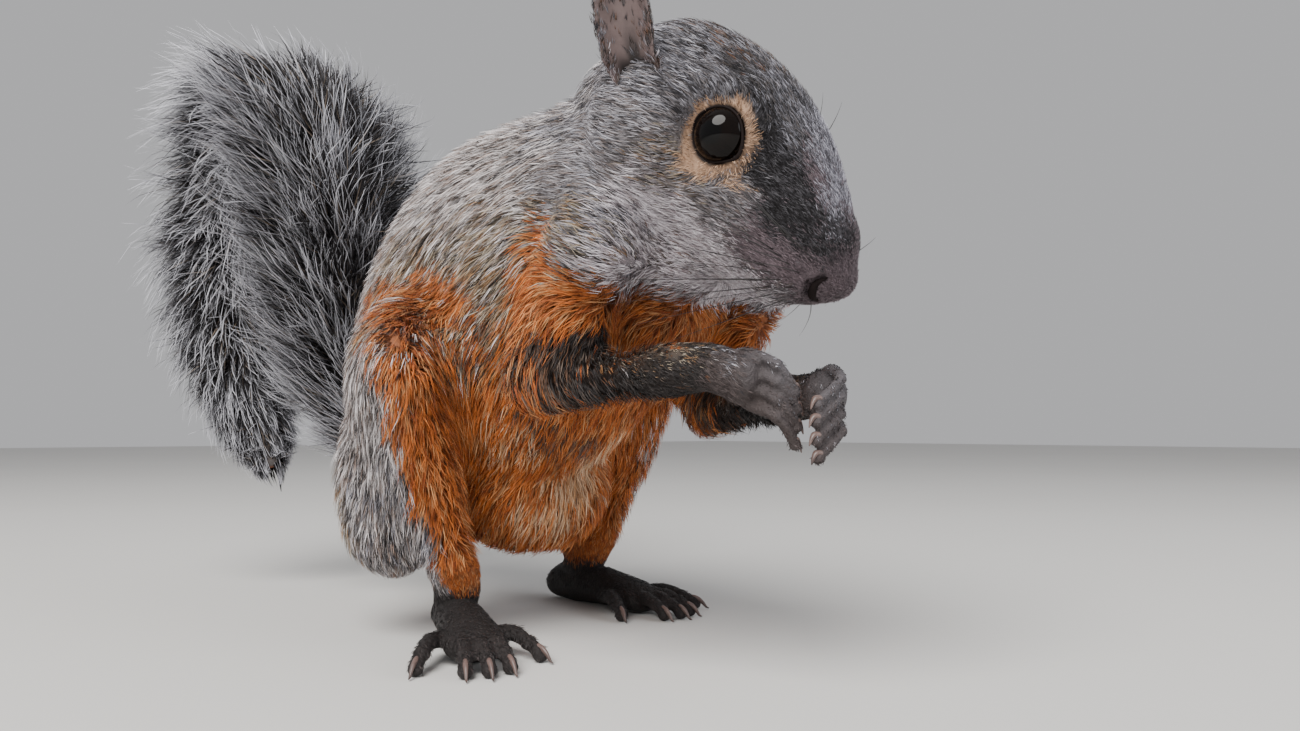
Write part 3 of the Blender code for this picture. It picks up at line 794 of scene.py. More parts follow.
# hair colours: root, then the tips with their shares
PELTS = {
    "grizzled": ((0.035, 0.028, 0.027), [((0.92, 0.86, 0.86), 0.50), ((0.018, 0.015, 0.015), 0.32),
                                         ((0.36, 0.25, 0.20), 0.18)]),
    "silver": ((0.06, 0.055, 0.060), [((0.66, 0.65, 0.72), 0.42), ((0.024, 0.022, 0.026), 0.40),
                                      ((0.27, 0.235, 0.235), 0.18)]),
    "olive": ((0.035, 0.026, 0.019), [((0.52, 0.44, 0.34), 0.38), ((0.026, 0.020, 0.016), 0.36),
                                      ((0.36, 0.19, 0.080), 0.26)]),
    "umber": ((0.026, 0.020, 0.017), [((0.16, 0.115, 0.09), 0.32), ((0.022, 0.017, 0.015), 0.44),
                                      ((0.20, 0.085, 0.038), 0.24)]),
    "rufous": ((0.13, 0.034, 0.012), [((0.60, 0.165, 0.030), 0.52), ((0.26, 0.054, 0.011), 0.30),
                                      ((0.68, 0.35, 0.15), 0.18)]),
    "cream": ((0.30, 0.15, 0.08), [((0.78, 0.55, 0.36), 0.6), ((0.58, 0.30, 0.13), 0.4)]),
    "slate": ((0.036, 0.034, 0.039), [((0.38, 0.375, 0.43), 0.36), ((0.032, 0.030, 0.034), 0.40),
                                      ((0.18, 0.155, 0.15), 0.24)]),
    "bridge": ((0.09, 0.085, 0.10), [((0.60, 0.59, 0.68), 0.60), ((0.08, 0.073, 0.085), 0.40)]),
    "cheek": ((0.075, 0.068, 0.072), [((0.44, 0.42, 0.45), 0.46), ((0.075, 0.065, 0.067), 0.36),
                                      ((0.26, 0.20, 0.18), 0.18)]),
    # pale chin and throat hair, made paler still as painted light on the shaded underside
    "chin": ((0.30, 0.26, 0.28), [((0.86, 0.81, 0.86), 0.72), ((0.34, 0.28, 0.30), 0.28)]),
    "muzzle": ((0.010, 0.009, 0.010), [((0.085, 0.080, 0.090), 0.30), ((0.013, 0.011, 0.012), 0.58),
                                       ((0.17, 0.165, 0.18), 0.12)]),
    "nose": ((0.105, 0.080, 0.090), [((0.22, 0.17, 0.19), 0.60), ((0.10, 0.076, 0.086), 0.40)]),
    "ring": ((0.30, 0.18, 0.11), [((0.68, 0.46, 0.32), 0.62), ((0.46, 0.28, 0.17), 0.38)]),
    "sable": ((0.005, 0.004, 0.004), [((0.020, 0.016, 0.016), 0.74), ((0.075, 0.064, 0.062), 0.26)]),
    "paw": ((0.034, 0.026, 0.025), [((0.078, 0.059, 0.058), 0.75), ((0.16, 0.128, 0.126), 0.25)]),
}
PELT_NAMES = list(PELTS)


def head_marks(lay, points, on_head):
    """Grey crown, pale cheek and throat, dark band from eye to nose, grey bridge and buff eye ring."""
    local = head_frame(wander(points, 1.4))
    both = mirror(local)
    s = both[:, 0]
    y = local[:, 1]
    z = local[:, 2]
    lay("slate", smoothstep(66, 44, y) * 0.45 * smoothstep(-36, -22, z))
    lay("silver", smoothstep(60, 40, y) * 0.25 * smoothstep(-36, -22, z))
    lay("cheek", on_head)
    lay("olive", on_head * patch(both, (15, 4, -11), (8, 9, 6)) * 0.3)
    throat = smoothstep(-29, -18, y) * smoothstep(14, 4, y)
    lay("chin", on_head * smoothstep(-10, -19, z - 0.1 * y) * 0.9 * throat)
    lay("chin", on_head * patch(both, (14, 2, -18), (7, 8, 6), 0.6) * 0.5)
    lay("slate", on_head * smoothstep(-5, 4, z + 0.1 * y))
    lay("silver", on_head * smoothstep(7, 15, y) * smoothstep(2, 8, z) * 0.35)
    lay("umber", on_head * smoothstep(8, 14, z) * smoothstep(-2, 8, y) * 0.25)
    lay("silver", on_head * smoothstep(9, 20, y) * smoothstep(7, -3, z) * smoothstep(-26, -16, z) * 0.6)
    lay("slate", on_head * patch(both, (21, 12, -26), (9, 11, 7), 0.5) * 0.55)
    lay("olive", on_head * patch(both, (22, 13, -29), (9, 10, 6), 0.5) * 0.5)
    # painted shade in the fold under the jaw
    lay("umber", on_head * patch(both, (9.6, -3, -23.5), (5, 5, 3.5), 0.8) * 0.22)
    lay("silver", on_head * patch(both, (20, 14, 0), (5, 6, 6), 0.6) * 0.5)
    lay("nose", on_head * smoothstep(-9, -17, y) * smoothstep(-20.5, -13.5, z))
    dark_band = [(12.5, 5, 11.5), (11.8, -7, 3.5), (10, -17, -2.0), (4, -26.5, -3.5)]
    for low, high, reach, share in zip(dark_band, dark_band[1:], (5, 6.5, 6.5), (0.6, 0.95, 0.9)):
        distance, _ = near(both, low, high)
        lay("muzzle", on_head * smoothstep(reach * 1.1, reach * 0.45, distance) * share)
    lay("bridge", smoothstep(6.8, 3.4, s) * smoothstep(-4, -11, y) * smoothstep(-27, -21.5, y)
        * smoothstep(-7, -1, z) * 0.9)
    lay("nose", smoothstep(-25.5, -29, y) * on_head * 0.85)
    r = np.hypot(y - EYE_BACK, 1.05 * z + 0.3)
    front = smoothstep(-3, -7, y)
    band = smoothstep(8.2, 7.2, r + 0.7 * front) * (s > 6)
    lay("ring", band * (0.95 - 0.35 * front))
    lay("umber", band * 0.3 * front)
    lay("ring", patch(both, (12.5, -6.8, -4.6), (3, 2.6, 2.0)) * 0.5)


def body_marks(lay, points, normals):
    """Rufous shoulders, belly and fronts of the legs under a grizzled back, with dark paws."""
    p = wander(points)
    x, y, z = p.T
    lay("olive", smoothstep(106, 88, z) * smoothstep(34, 10, y) * 0.8)
    lay("rufous", smoothstep(73, 58, z) * smoothstep(10, -12, y) * (y > -64) * 0.96)
    for side, sign in SIGN.items():
        shoulder, elbow, _, hip, knee, _ = joints(side)
        lay("rufous", patch(p, beside(shoulder, side, 5, 1, -15), (17, 14, 17)))
        lay("rufous", patch(p, lerp(shoulder, elbow, 0.6), (15, 17, 20)))
        lay("rufous", patch(p, beside(knee, side, 0, -6, 5), (17, 15, 15)))
        lay("rufous", patch(p, beside(knee, side, -7, 8, 18), (17, 17, 8)) * 0.9)
        lay("rufous", patch(p, beside(hip, side, 16, -2, 32), (13, 17, 6)) * 0.7)
        lay("olive", patch(p, (shoulder[0] + 12 * sign, shoulder[1] - 3, 88), (9, 10, 8), 0.6) * 0.55)
        # painted shade in the crook of the elbow
        lay("umber", patch(p, beside(elbow, side, 4, -4, 1), (10, 12, 7), 0.6) * 0.5)
    on_trunk = (np.abs(points[:, 0]) < 31) * 1.0
    under = smoothstep(-0.1, -0.5, normals[:, 2]) * smoothstep(70, 55, z) * on_trunk
    lay("rufous", under * 0.96)
    lay("rufous", patch(p, (0, -68, 76), (24, 17, 15)))
    for side, sign in SIGN.items():
        knee = KNEE[side]
        ankle = ANKLE[side]
        distance, t = near(points, knee, ankle)
        leg = smoothstep(27, 21, distance) * (points[:, 2] < knee[2] - 2)
        leg = leg * (points[:, 0] * sign > 15) * (points[:, 1] > knee[1] - 24)
        bone = np.array(knee) + t[:, None] * (np.array(ankle) - np.array(knee))
        off = wander(points, 1.6) - bone
        outer = (off[:, 0] * sign * 0.62 + off[:, 1] * 0.78) / (distance + 1e-6)
        back = smoothstep(-0.2, 0.2, outer - 0.02 * np.maximum(points[:, 2] - 38, -5))
        back = back * smoothstep(-0.5, 0.1, off[:, 0] * sign / (distance + 1e-6))
        lay("rufous", leg * (1 - back))
        lay("grizzled", leg * back)
        # greyer coat on the outer back of the lower leg, darkened further as painted shade
        lay("slate", leg * back * 0.35)
    for side, sign in SIGN.items():
        behind = y - 0.25 * (z - 60) - KNEE[side][1]
        lay("grizzled", smoothstep(-5, 6, behind) * smoothstep(77, 67, z) * smoothstep(44, 52, z)
            * smoothstep(35, 42, x * sign))
        lay("grizzled", smoothstep(7, 19, behind) * smoothstep(85, 77, z) * smoothstep(36, 48, z)
            * smoothstep(24, 30, x * sign))
    rump = np.maximum(smoothstep(50, 60, z), smoothstep(28, 36, y))
    rump = np.maximum(rump, smoothstep(16, 24, y) * smoothstep(24, 20, np.abs(x)))
    seen = smoothstep(-0.6, -0.2, normals[:, 2] + 0.35 * smoothstep(10, 18, np.abs(x)))
    lay("grizzled", smoothstep(8, 18, y) * smoothstep(84, 74, z) * seen * rump)
    # painted shade on the belly under the right forearm
    lay("umber", patch(p, (-9, -33, 50), (13, 8, 8), 0.5) * 0.35)
    lay("umber", patch(mirror(p), (29, -31, 69), (8, 13, 8), 0.5) * 0.4)
    for middle, size, share in (((9, -30, 45), (6, 11, 9), 0.9), ((5, -24, 37), (6, 10, 8), 0.95),
                                ((-2, -19, 30), (7, 9, 6), 0.7), ((-15, -26, 43), (6, 13, 14), 0.35)):
        lay("cream", patch(p, middle, size, 0.6) * share)
    # painted shade on the low underside between the hind legs
    lay("umber", smoothstep(24, 18, points[:, 2]) * (np.abs(points[:, 0]) < 18) * 0.7)
    for side, sign in SIGN.items():
        distance, t = near(points, ELBOW[side], WRIST[side])
        # dark brown forearm hair, made darker underneath and lighter on top as painted shade and light
        top = smoothstep(-0.2, 0.6, normals[:, 2])
        lay("umber", smoothstep(14, 10, distance) * smoothstep(-0.05, 0.3, t) * (0.95 - 0.5 * top))
        lay("olive", smoothstep(14, 10, distance) * smoothstep(0.1, 0.3, t) * 0.5 * top)
        lay("sable", smoothstep(14, 10, distance) * smoothstep(0.1, 0.5, t) * (0.9 - 0.35 * top))
        hand, t = near(points, WRIST[side], KNUCKLE[side])
        finger, _ = near(points, KNUCKLE[side], FINGERTIP[side])
        palm = np.maximum(smoothstep(13, 9, hand) * smoothstep(0, 0.45, t), smoothstep(12, 8, finger))
        lay("paw", palm * (1 - head_share(points)))
        distance, t = near(points, ANKLE[side], TOE[side])
        foot = smoothstep(26, 21, distance) * smoothstep(15, 11, points[:, 2])
        lay("sable", foot)
        lay("paw", foot * smoothstep(0.5, 0.85, t) * 0.15)


def markings(points, normals):
    """Share of each hair colour at each point, one column per name in PELT_NAMES."""
    shares = np.zeros((len(points), len(PELT_NAMES)))
    shares[:, 0] = 1

    def lay(name, amount):
        amount = np.clip(amount, 0, 1)[:, None]
        shares[:] = shares * (1 - amount)
        shares[:, PELT_NAMES.index(name)] += amount[:, 0]

    body_marks(lay, points, normals)
    head_marks(lay, points, head_share(points))
    return shares


def shaded_undercoat(shares):
    """The skin's colour under the hairs: a mean of the roots and tips, darkened as painted shade where the
    skin shows between the hairs.
    """
    colours = []
    for name in PELT_NAMES:
        root, tips = PELTS[name]
        mean = sum(np.array(tip) * share for tip, share in tips)
        # darkened: painted shade where the skin shows between the hairs
        colours.append(np.array(root) * 0.5 + mean * 0.42)
    return shares @ np.array(colours)


# ---------------------------------------------------------------- lie of the coat
def streams():
    """Runs that the hair follows: start, end and how far each reaches."""
    runs = []
    spine = [row[:3] for row in reversed(SPINE)]
    runs += [(a, b, 40) for a, b in zip(spine, spine[1:])]
    runs.append(((0, -66, 92), (0, -46, 62), 26))
    runs.append(((0, -46, 62), (2, -22, 34), 26))
    runs.append(((2, -22, 34), (4, 10, 22), 24))
    for side, sign in SIGN.items():
        shoulder, elbow, wrist, hip, knee, ankle = joints(side)
        runs.append((shoulder, elbow, 20))
        runs.append((elbow, wrist, 13))
        runs.append((wrist, FINGERTIP[side], 12))
        haunch = (hip[0] + 12 * sign, knee[1] + 10, 92)
        runs.append((haunch, beside(knee, side, 4, 6, 3), 20))
        runs.append((beside(knee, side, 0, -9, 6), beside(ankle, side, 2, -2, -1), 24))
        runs.append((beside(hip, side, 18, -2, 26), beside(ankle, side, 10, 26, 1), 26))
        runs.append((beside(ankle, side, 0, 4, 1), TOE[side], 10))
    return runs


def lie_of(points, normals):
    """Unit directions that the hair points in, tangent to the skin."""
    flow = np.zeros_like(points)
    for a, b, reach in streams():
        distance, _ = near(points, a, b)
        run = np.array(b, float) - np.array(a, float)
        weight = np.exp(-3.0 * (distance / reach) ** 2) + 1e-6
        flow += weight[:, None] * run / np.linalg.norm(run)
    sides = np.abs(normals[:, 0])
    flow[:, 2] -= 0.35 * sides * np.linalg.norm(flow, axis=1)
    local = head_frame(points)
    back = np.array(HEAD.to_3x3())
    run = np.stack([0.25 * np.sign(local[:, 0]), np.ones(len(points)), -0.2 - 0.012 * local[:, 1]], axis=1)
    eye = np.stack([0 * local[:, 0], local[:, 1] - EYE_BACK, local[:, 2]], axis=1)
    r = np.linalg.norm(eye, axis=1)[:, None]
    swirl = smoothstep(12, 6, r) * (np.abs(local[:, :1]) > 6)
    run = unit(run) * (1 - swirl) + (eye / (r + 1e-9)) * swirl + unit(run) * swirl * 0.35
    for_head = run @ back.T
    on_head = head_share(points, 7.0)
    flow = flow / (np.linalg.norm(flow, axis=1)[:, None] + 1e-9)
    flow = flow * (1 - on_head)[:, None] + for_head * on_head[:, None]
    flow -= normals * (flow * normals).sum(axis=1)[:, None]
    return flow / (np.linalg.norm(flow, axis=1)[:, None] + 1e-9)


def hair_length(points):
    """Millimetres of hair, shortest round the eyes and on the paws."""
    local = head_frame(points)
    length = np.full(len(points), 6.6)
    on_head = head_share(points, 5.0)
    face = 1.7 + 2.2 * smoothstep(-26, 16, local[:, 1]) + 1.6 * smoothstep(-6, -22, local[:, 2]) \
        * smoothstep(-14, 12, local[:, 1])
    by_eye = smoothstep(9.5, 7.0, eye_gap(local)) * (np.abs(local[:, 0]) > 6)
    face = face + (0.95 - face) * by_eye
    face = face * (1 - 0.35 * smoothstep(-20, -30, local[:, 1]))
    length += (face - length) * on_head
    under = smoothstep(88, 60, points[:, 2]) * smoothstep(34, 26, np.abs(points[:, 0]))
    length += 1.6 * under * (1 - on_head)
    low = smoothstep(40, 14, points[:, 2]) * (np.abs(points[:, 0]) > 12)
    length += (5.0 - length) * low
    for side in SIGN:
        distance, t = near(points, ELBOW[side], WRIST[side])
        length += (4.0 - length) * smoothstep(16, 10, distance) * smoothstep(-0.1, 0.5, t)
    length += (2.0 - length) * limb_reach(points)
    return length


# ---------------------------------------------------------------- coat
PATCH = 0.003  # a tuft's place on the skin's unwrap
PIECE_LIMIT = 195000  # triangles in one piece of the coat
BLADES = 3  # blades in a tuft
BLADE = np.array([(0, 1, 3), (0, 3, 2), (2, 3, 4)])
LONG_BLADE = np.array([(0, 1, 3), (0, 3, 2), (2, 3, 5), (2, 5, 4), (4, 5, 6)])


def ribbon_mesh(name, points, plan, uvs, colours):
    """Ribbons as one mesh: points and colours are (ribbons, corners, 3), uvs (ribbons, corners, 2)."""
    count, corners, _ = points.shape
    faces = (plan[None] + (np.arange(count) * corners)[:, None, None]).reshape(-1, 3)
    mesh = bpy.data.meshes.new(name)
    mesh.vertices.add(count * corners)
    mesh.vertices.foreach_set("co", (points * MM).astype(np.float32).ravel())
    mesh.loops.add(faces.size)
    mesh.loops.foreach_set("vertex_index", faces.astype(np.int32).ravel())
    mesh.polygons.add(len(faces))
    mesh.polygons.foreach_set("loop_start", np.arange(0, faces.size, 3, dtype=np.int32))
    mesh.update(calc_edges=True)
    mesh.polygons.foreach_set("use_smooth", np.ones(len(faces), dtype=bool))
    layer = mesh.uv_layers.new(name="OFBake")
    layer.data.foreach_set("uv", uvs.reshape(-1, 2)[faces.ravel()].astype(np.float32).ravel())
    paint_pelt(mesh, colours)
    return placed(name, mesh)


def chosen_pelts(shares):
    """For each row a hair kind drawn by its share: root, middle and tip colours, and the kind."""
    shares = shares / shares.sum(axis=1, keepdims=True)
    pick = (shares.cumsum(axis=1) < luck.random(len(shares))[:, None]).sum(axis=1)
    pick = np.minimum(pick, len(PELT_NAMES) - 1)
    root = np.zeros((len(shares), 3))
    tip = np.zeros((len(shares), 3))
    middle = np.zeros((len(shares), 3))
    for i, name in enumerate(PELT_NAMES):
        rows = np.flatnonzero(pick == i)
        base, tips = PELTS[name]
        odds = np.array([share for _, share in tips])
        colours = np.array([colour for colour, _ in tips])
        root[rows] = base
        tip[rows] = colours[luck.choice(len(tips), len(rows), p=odds / odds.sum())]
        middle[rows] = colours[luck.choice(len(tips), len(rows), p=odds / odds.sum())]
    middle = (middle * 0.4 + tip * 0.6) * 0.6 + root * 0.4
    shade = luck.uniform(0.8, 1.2, (len(shares), 1))
    return root * shade, middle * shade, tip * shade, pick


def followed(tree, points):
    """The nearest places on a skin, and its outward directions there."""
    near_points = np.empty_like(points)
    outward = np.empty_like(points)
    for i, point in enumerate(points * MM):
        place, normal, _, _ = tree.find_nearest(point)
        near_points[i] = place
        outward[i] = normal
    return near_points / MM, outward


def tufts(roots, normals, lie, length, width, depth, per, spread, places, shares, wild=0.22, tree=None):
    """Tufts of `per` blades that leave the skin together, lie along it and close to a shared tip.

    With a skin's tree the tips bend to follow that skin; without one they run straight."""
    n = len(roots)
    side = unit(np.cross(lie, normals))
    turn = luck.normal(0, wild, n)[:, None]
    lie = unit(lie * np.cos(turn) + side * np.sin(turn))
    side = unit(np.cross(lie, normals))
    reach = length * luck.uniform(0.75, 1.15, n)
    rise = depth * luck.uniform(0.4, 0.95, n)

    bend = np.zeros_like(roots)
    if tree:
        ends = roots + lie * reach[:, None]
        ground, outward = followed(tree, ends)
        bend = ground + outward * rise[:, None] - ends - normals * rise[:, None]
        bend *= np.minimum(1, 0.8 * reach / (np.linalg.norm(bend, axis=1) + 1e-9))[:, None]

    def each(values):
        return np.repeat(values, per, axis=0)

    out, ahead, aside = each(normals), each(lie), each(side)
    count = n * per
    off_side = luck.normal(0, 1, count)[:, None] * spread
    off_lie = luck.normal(0, 1, count)[:, None] * spread
    base = each(roots) + aside * off_side + ahead * off_lie
    grow = luck.uniform(0.5, 1.0, count)
    far = (each(reach) * grow)[:, None]
    high = (each(rise) * (0.35 + 0.65 * grow))[:, None]
    stray = luck.normal(0, 0.09, count)[:, None]
    start = base - out * 0.25
    middle = base + ahead * far * 0.45 + out * high * 0.75 + aside * far * stray * 0.4
    middle += each(bend) * (0.2 * grow ** 2)[:, None]
    tip = base + ahead * far + out * high + aside * (far * stray - off_side * 0.3) - ahead * off_lie * 0.3
    tip += each(bend) * (grow ** 2)[:, None]
    tilt = luck.uniform(-0.7, 0.7, count)[:, None]
    flat = aside * np.cos(tilt) + out * np.sin(tilt)
    half = (each(np.broadcast_to(width, n)) * luck.uniform(0.75, 1.2, count))[:, None] / 2
    points = np.stack([start - flat * half, start + flat * half,
                       middle - flat * half * 0.85, middle + flat * half * 0.85, tip], axis=1)
    slot = (np.tile(np.arange(per), n) / per)[:, None]
    corner = each(places)
    across = np.array([0, 1, 0, 1, 0.5])[None, :] / per + slot
    along = np.array([0, 0, 0.5, 0.5, 1.0])[None, :] + 0 * slot
    uvs = np.stack([corner[:, :1] + across * PATCH, corner[:, 1:] + along * PATCH], axis=2)
    root, mid, end, pick = (each(values) for values in chosen_pelts(shares))
    colours = np.stack([root, root, mid, mid, end], axis=1) * luck.uniform(0.72, 1.28, (count, 1, 1))
    return points, uvs, colours, pick


def skin_triangles(obj):
    """Each triangle's three points, normals and places on the unwrap."""
    mesh = obj.data
    mesh.calc_loop_triangles()
    corners = read(mesh.loop_triangles, "vertices", 3, np.int32)
    loops = read(mesh.loop_triangles, "loops", 3, np.int32)
    uv = read(mesh.uv_layers["OFBake"].data, "uv", 2).astype(float)
    return vertices_of(obj)[corners], outward_at(obj)[corners], uv[loops]


def scatter(triangles, count, density):
    """Roots spread over the skin by area and a density at each place."""
    points, normals, _ = triangles
    area = np.linalg.norm(np.cross(points[:, 1] - points[:, 0], points[:, 2] - points[:, 0]), axis=1)
    weight = area * density(points.mean(axis=1), unit(normals.mean(axis=1)))
    pick = luck.choice(len(area), count, p=weight / weight.sum())
    a = np.sqrt(luck.random(count))
    b = luck.random(count)
    mix = np.stack([1 - a, a * (1 - b), a * b], axis=1)[:, :, None]
    roots, outward, places = ((values[pick] * mix).sum(axis=1) for values in triangles)
    return roots, unit(outward), places


def unwrap(obj):
    """An unwrap of the piece's own shape as its OFBake map."""
    obj.data.uv_layers.new(name="OFBake")
    bpy.ops.object.select_all(action="DESELECT")
    obj.select_set(True)
    bpy.context.view_layer.objects.active = obj
    bpy.ops.object.mode_set(mode="EDIT")
    bpy.ops.mesh.select_all(action="SELECT")
    bpy.ops.uv.smart_project(angle_limit=1.1, island_margin=0.002)
    bpy.ops.object.mode_set(mode="OBJECT")


def bare(points):
    """0 where no hair grows on the face: eyes, nostrils and the line of the mouth."""
    both = mirror(head_frame(points))
    cover = 1.0 - ((eye_gap(both) < 5.6) & (both[:, 0] > 8))
    for a, b, width, _ in NOSTRIL_AND_MOUTH:
        distance, _ = near(both, a, b)
        cover = cover * smoothstep(width * 0.9, width * 2.2, distance)
    return cover


def body_coat(skin):
    """Tufts over the head and over the body, limbs and rump, with each blade's hair kind, by which they are
    split by finish later.
    """
    triangles = skin_triangles(skin)
    sheets = []

    def on_body(points, normals):
        return (1 - head_share(points)) * (1 - tail_share(points)) * (1 + 0.8 * limb_reach(points)) \
            * (points[:, 2] > 2)

    def on_head(points, normals):
        local = head_frame(points)
        return head_share(points) * (1 - tail_share(points)) * bare(points) \
            * (1 + 1.6 * smoothstep(0, -20, local[:, 1]))

    for density, count in ((on_body, BODY_TUFTS), (on_head, HEAD_TUFTS)):
        roots, normals, places = scatter(triangles, count, density)
        shares = markings(roots, normals)
        length = hair_length(roots)
        width = 0.11 + 0.02 * length
        sheets.append(tufts(roots, normals, lie_of(roots, normals), length, width,
                            coat_depth(roots), BLADES, 0.42, places, shares, 0.16, skin_tree))
    return sheets


def paw_coat(paw, kind):
    """Short flat hair: over the foot's back and sides, or over the hand and wrist but not the fingers."""
    triangles = skin_triangles(paw)

    def density(points, normals):
        if kind == "foot":
            return smoothstep(-0.3, 0.2, normals[:, 2]) * smoothstep(1.0, 3.0, points[:, 2]) + 0.001
        cover = np.full(len(points), 0.001)
        for side in SIGN:
            arm, _ = near(points, ELBOW[side], WRIST[side])
            finger, _ = near(points, KNUCKLE[side], FINGERTIP[side])
            cover = np.maximum(cover, smoothstep(9, 6, arm) + 0.35 * smoothstep(3, 7, finger)
                               * smoothstep(14, 9, finger))
        return cover

    roots, normals, places = scatter(triangles, PAW_TUFTS[kind], density)
    shares = markings(roots, normals)
    length = 1.6
    if kind == "hand":
        length = 1.1 + 1.6 * by_forearm(roots)
    return tufts(roots, normals, lie_of(roots, normals), length, 0.15, 0.3, BLADES, 0.2, places, shares)


def by_forearm(points):
    """1 along the forearm, falling to 0 past its sides."""
    close = np.zeros(len(points))
    for side in SIGN:
        distance, _ = near(points, ELBOW[side], WRIST[side])
        close = np.maximum(close, smoothstep(12, 7, distance))
    return close


def ear_coat(ear, side):
    """Short hair up the ear, thin in the hollow and dense on its rims and at its base."""
    triangles = skin_triangles(ear)
    place = ear_matrix(side)
    upward = np.array(place.to_3x3() @ Vector((0, 0, 1)))
    hollow = np.array(place.to_3x3() @ Vector((0, -1, 0)))

    def density(points, normals):
        x, _, z = carried(place.inverted(), points).T
        half = EAR_WIDTH / 2 * (0.75 + 0.5 * z / EAR_LENGTH)
        rim = smoothstep(0.55, 0.9, np.abs(x) / half) + smoothstep(6, 2, z)
        return 0.10 + smoothstep(0.2, -0.3, normals @ hollow) + 0.8 * np.clip(rim, 0, 1)

    roots, normals, places = scatter(triangles, EAR_TUFTS, density)
    lie = upward[None] - normals * (normals @ upward)[:, None]
    lie = unit(lie + 1e-6)
    shares = np.zeros((len(roots), len(PELT_NAMES)))
    height = carried(place.inverted(), roots)[:, 2] / EAR_LENGTH
    low = smoothstep(0.4, 0.05, height)
    inner = smoothstep(-0.1, 0.4, normals @ hollow)
    shares[:, PELT_NAMES.index("chin")] = 0.45 * low * inner
    shares[:, PELT_NAMES.index("umber")] = 0.35
    shares[:, PELT_NAMES.index("slate")] = 0.5
    return tufts(roots, normals, lie, 2.3, 0.15, 0.5, BLADES, 0.3, places, shares)


# tail hair colours
TAIL_DARK = (0.012, 0.010, 0.012)
TAIL_BAND = (0.040, 0.036, 0.040)
TAIL_BUFF = (0.26, 0.20, 0.15)
TAIL_SILVER = (0.90, 0.90, 0.98)


def tail_run():
    """The tail's middle line, finely stepped: centre, across, deep and the two half sizes."""
    rows = np.array(smooth_rows([tuple(map(float, row)) for row in TAIL], 12))
    centre = rows[:, :3]
    ahead = unit(np.gradient(centre, axis=0))
    across = np.array((1.0, 0, 0)) - ahead * ahead[:, :1]
    across = unit(across)
    deep = np.cross(ahead, across)
    length = np.concatenate([[0], np.cumsum(np.linalg.norm(np.diff(centre, axis=0), axis=1))])
    return centre, across, deep, rows[:, 3], rows[:, 4], length


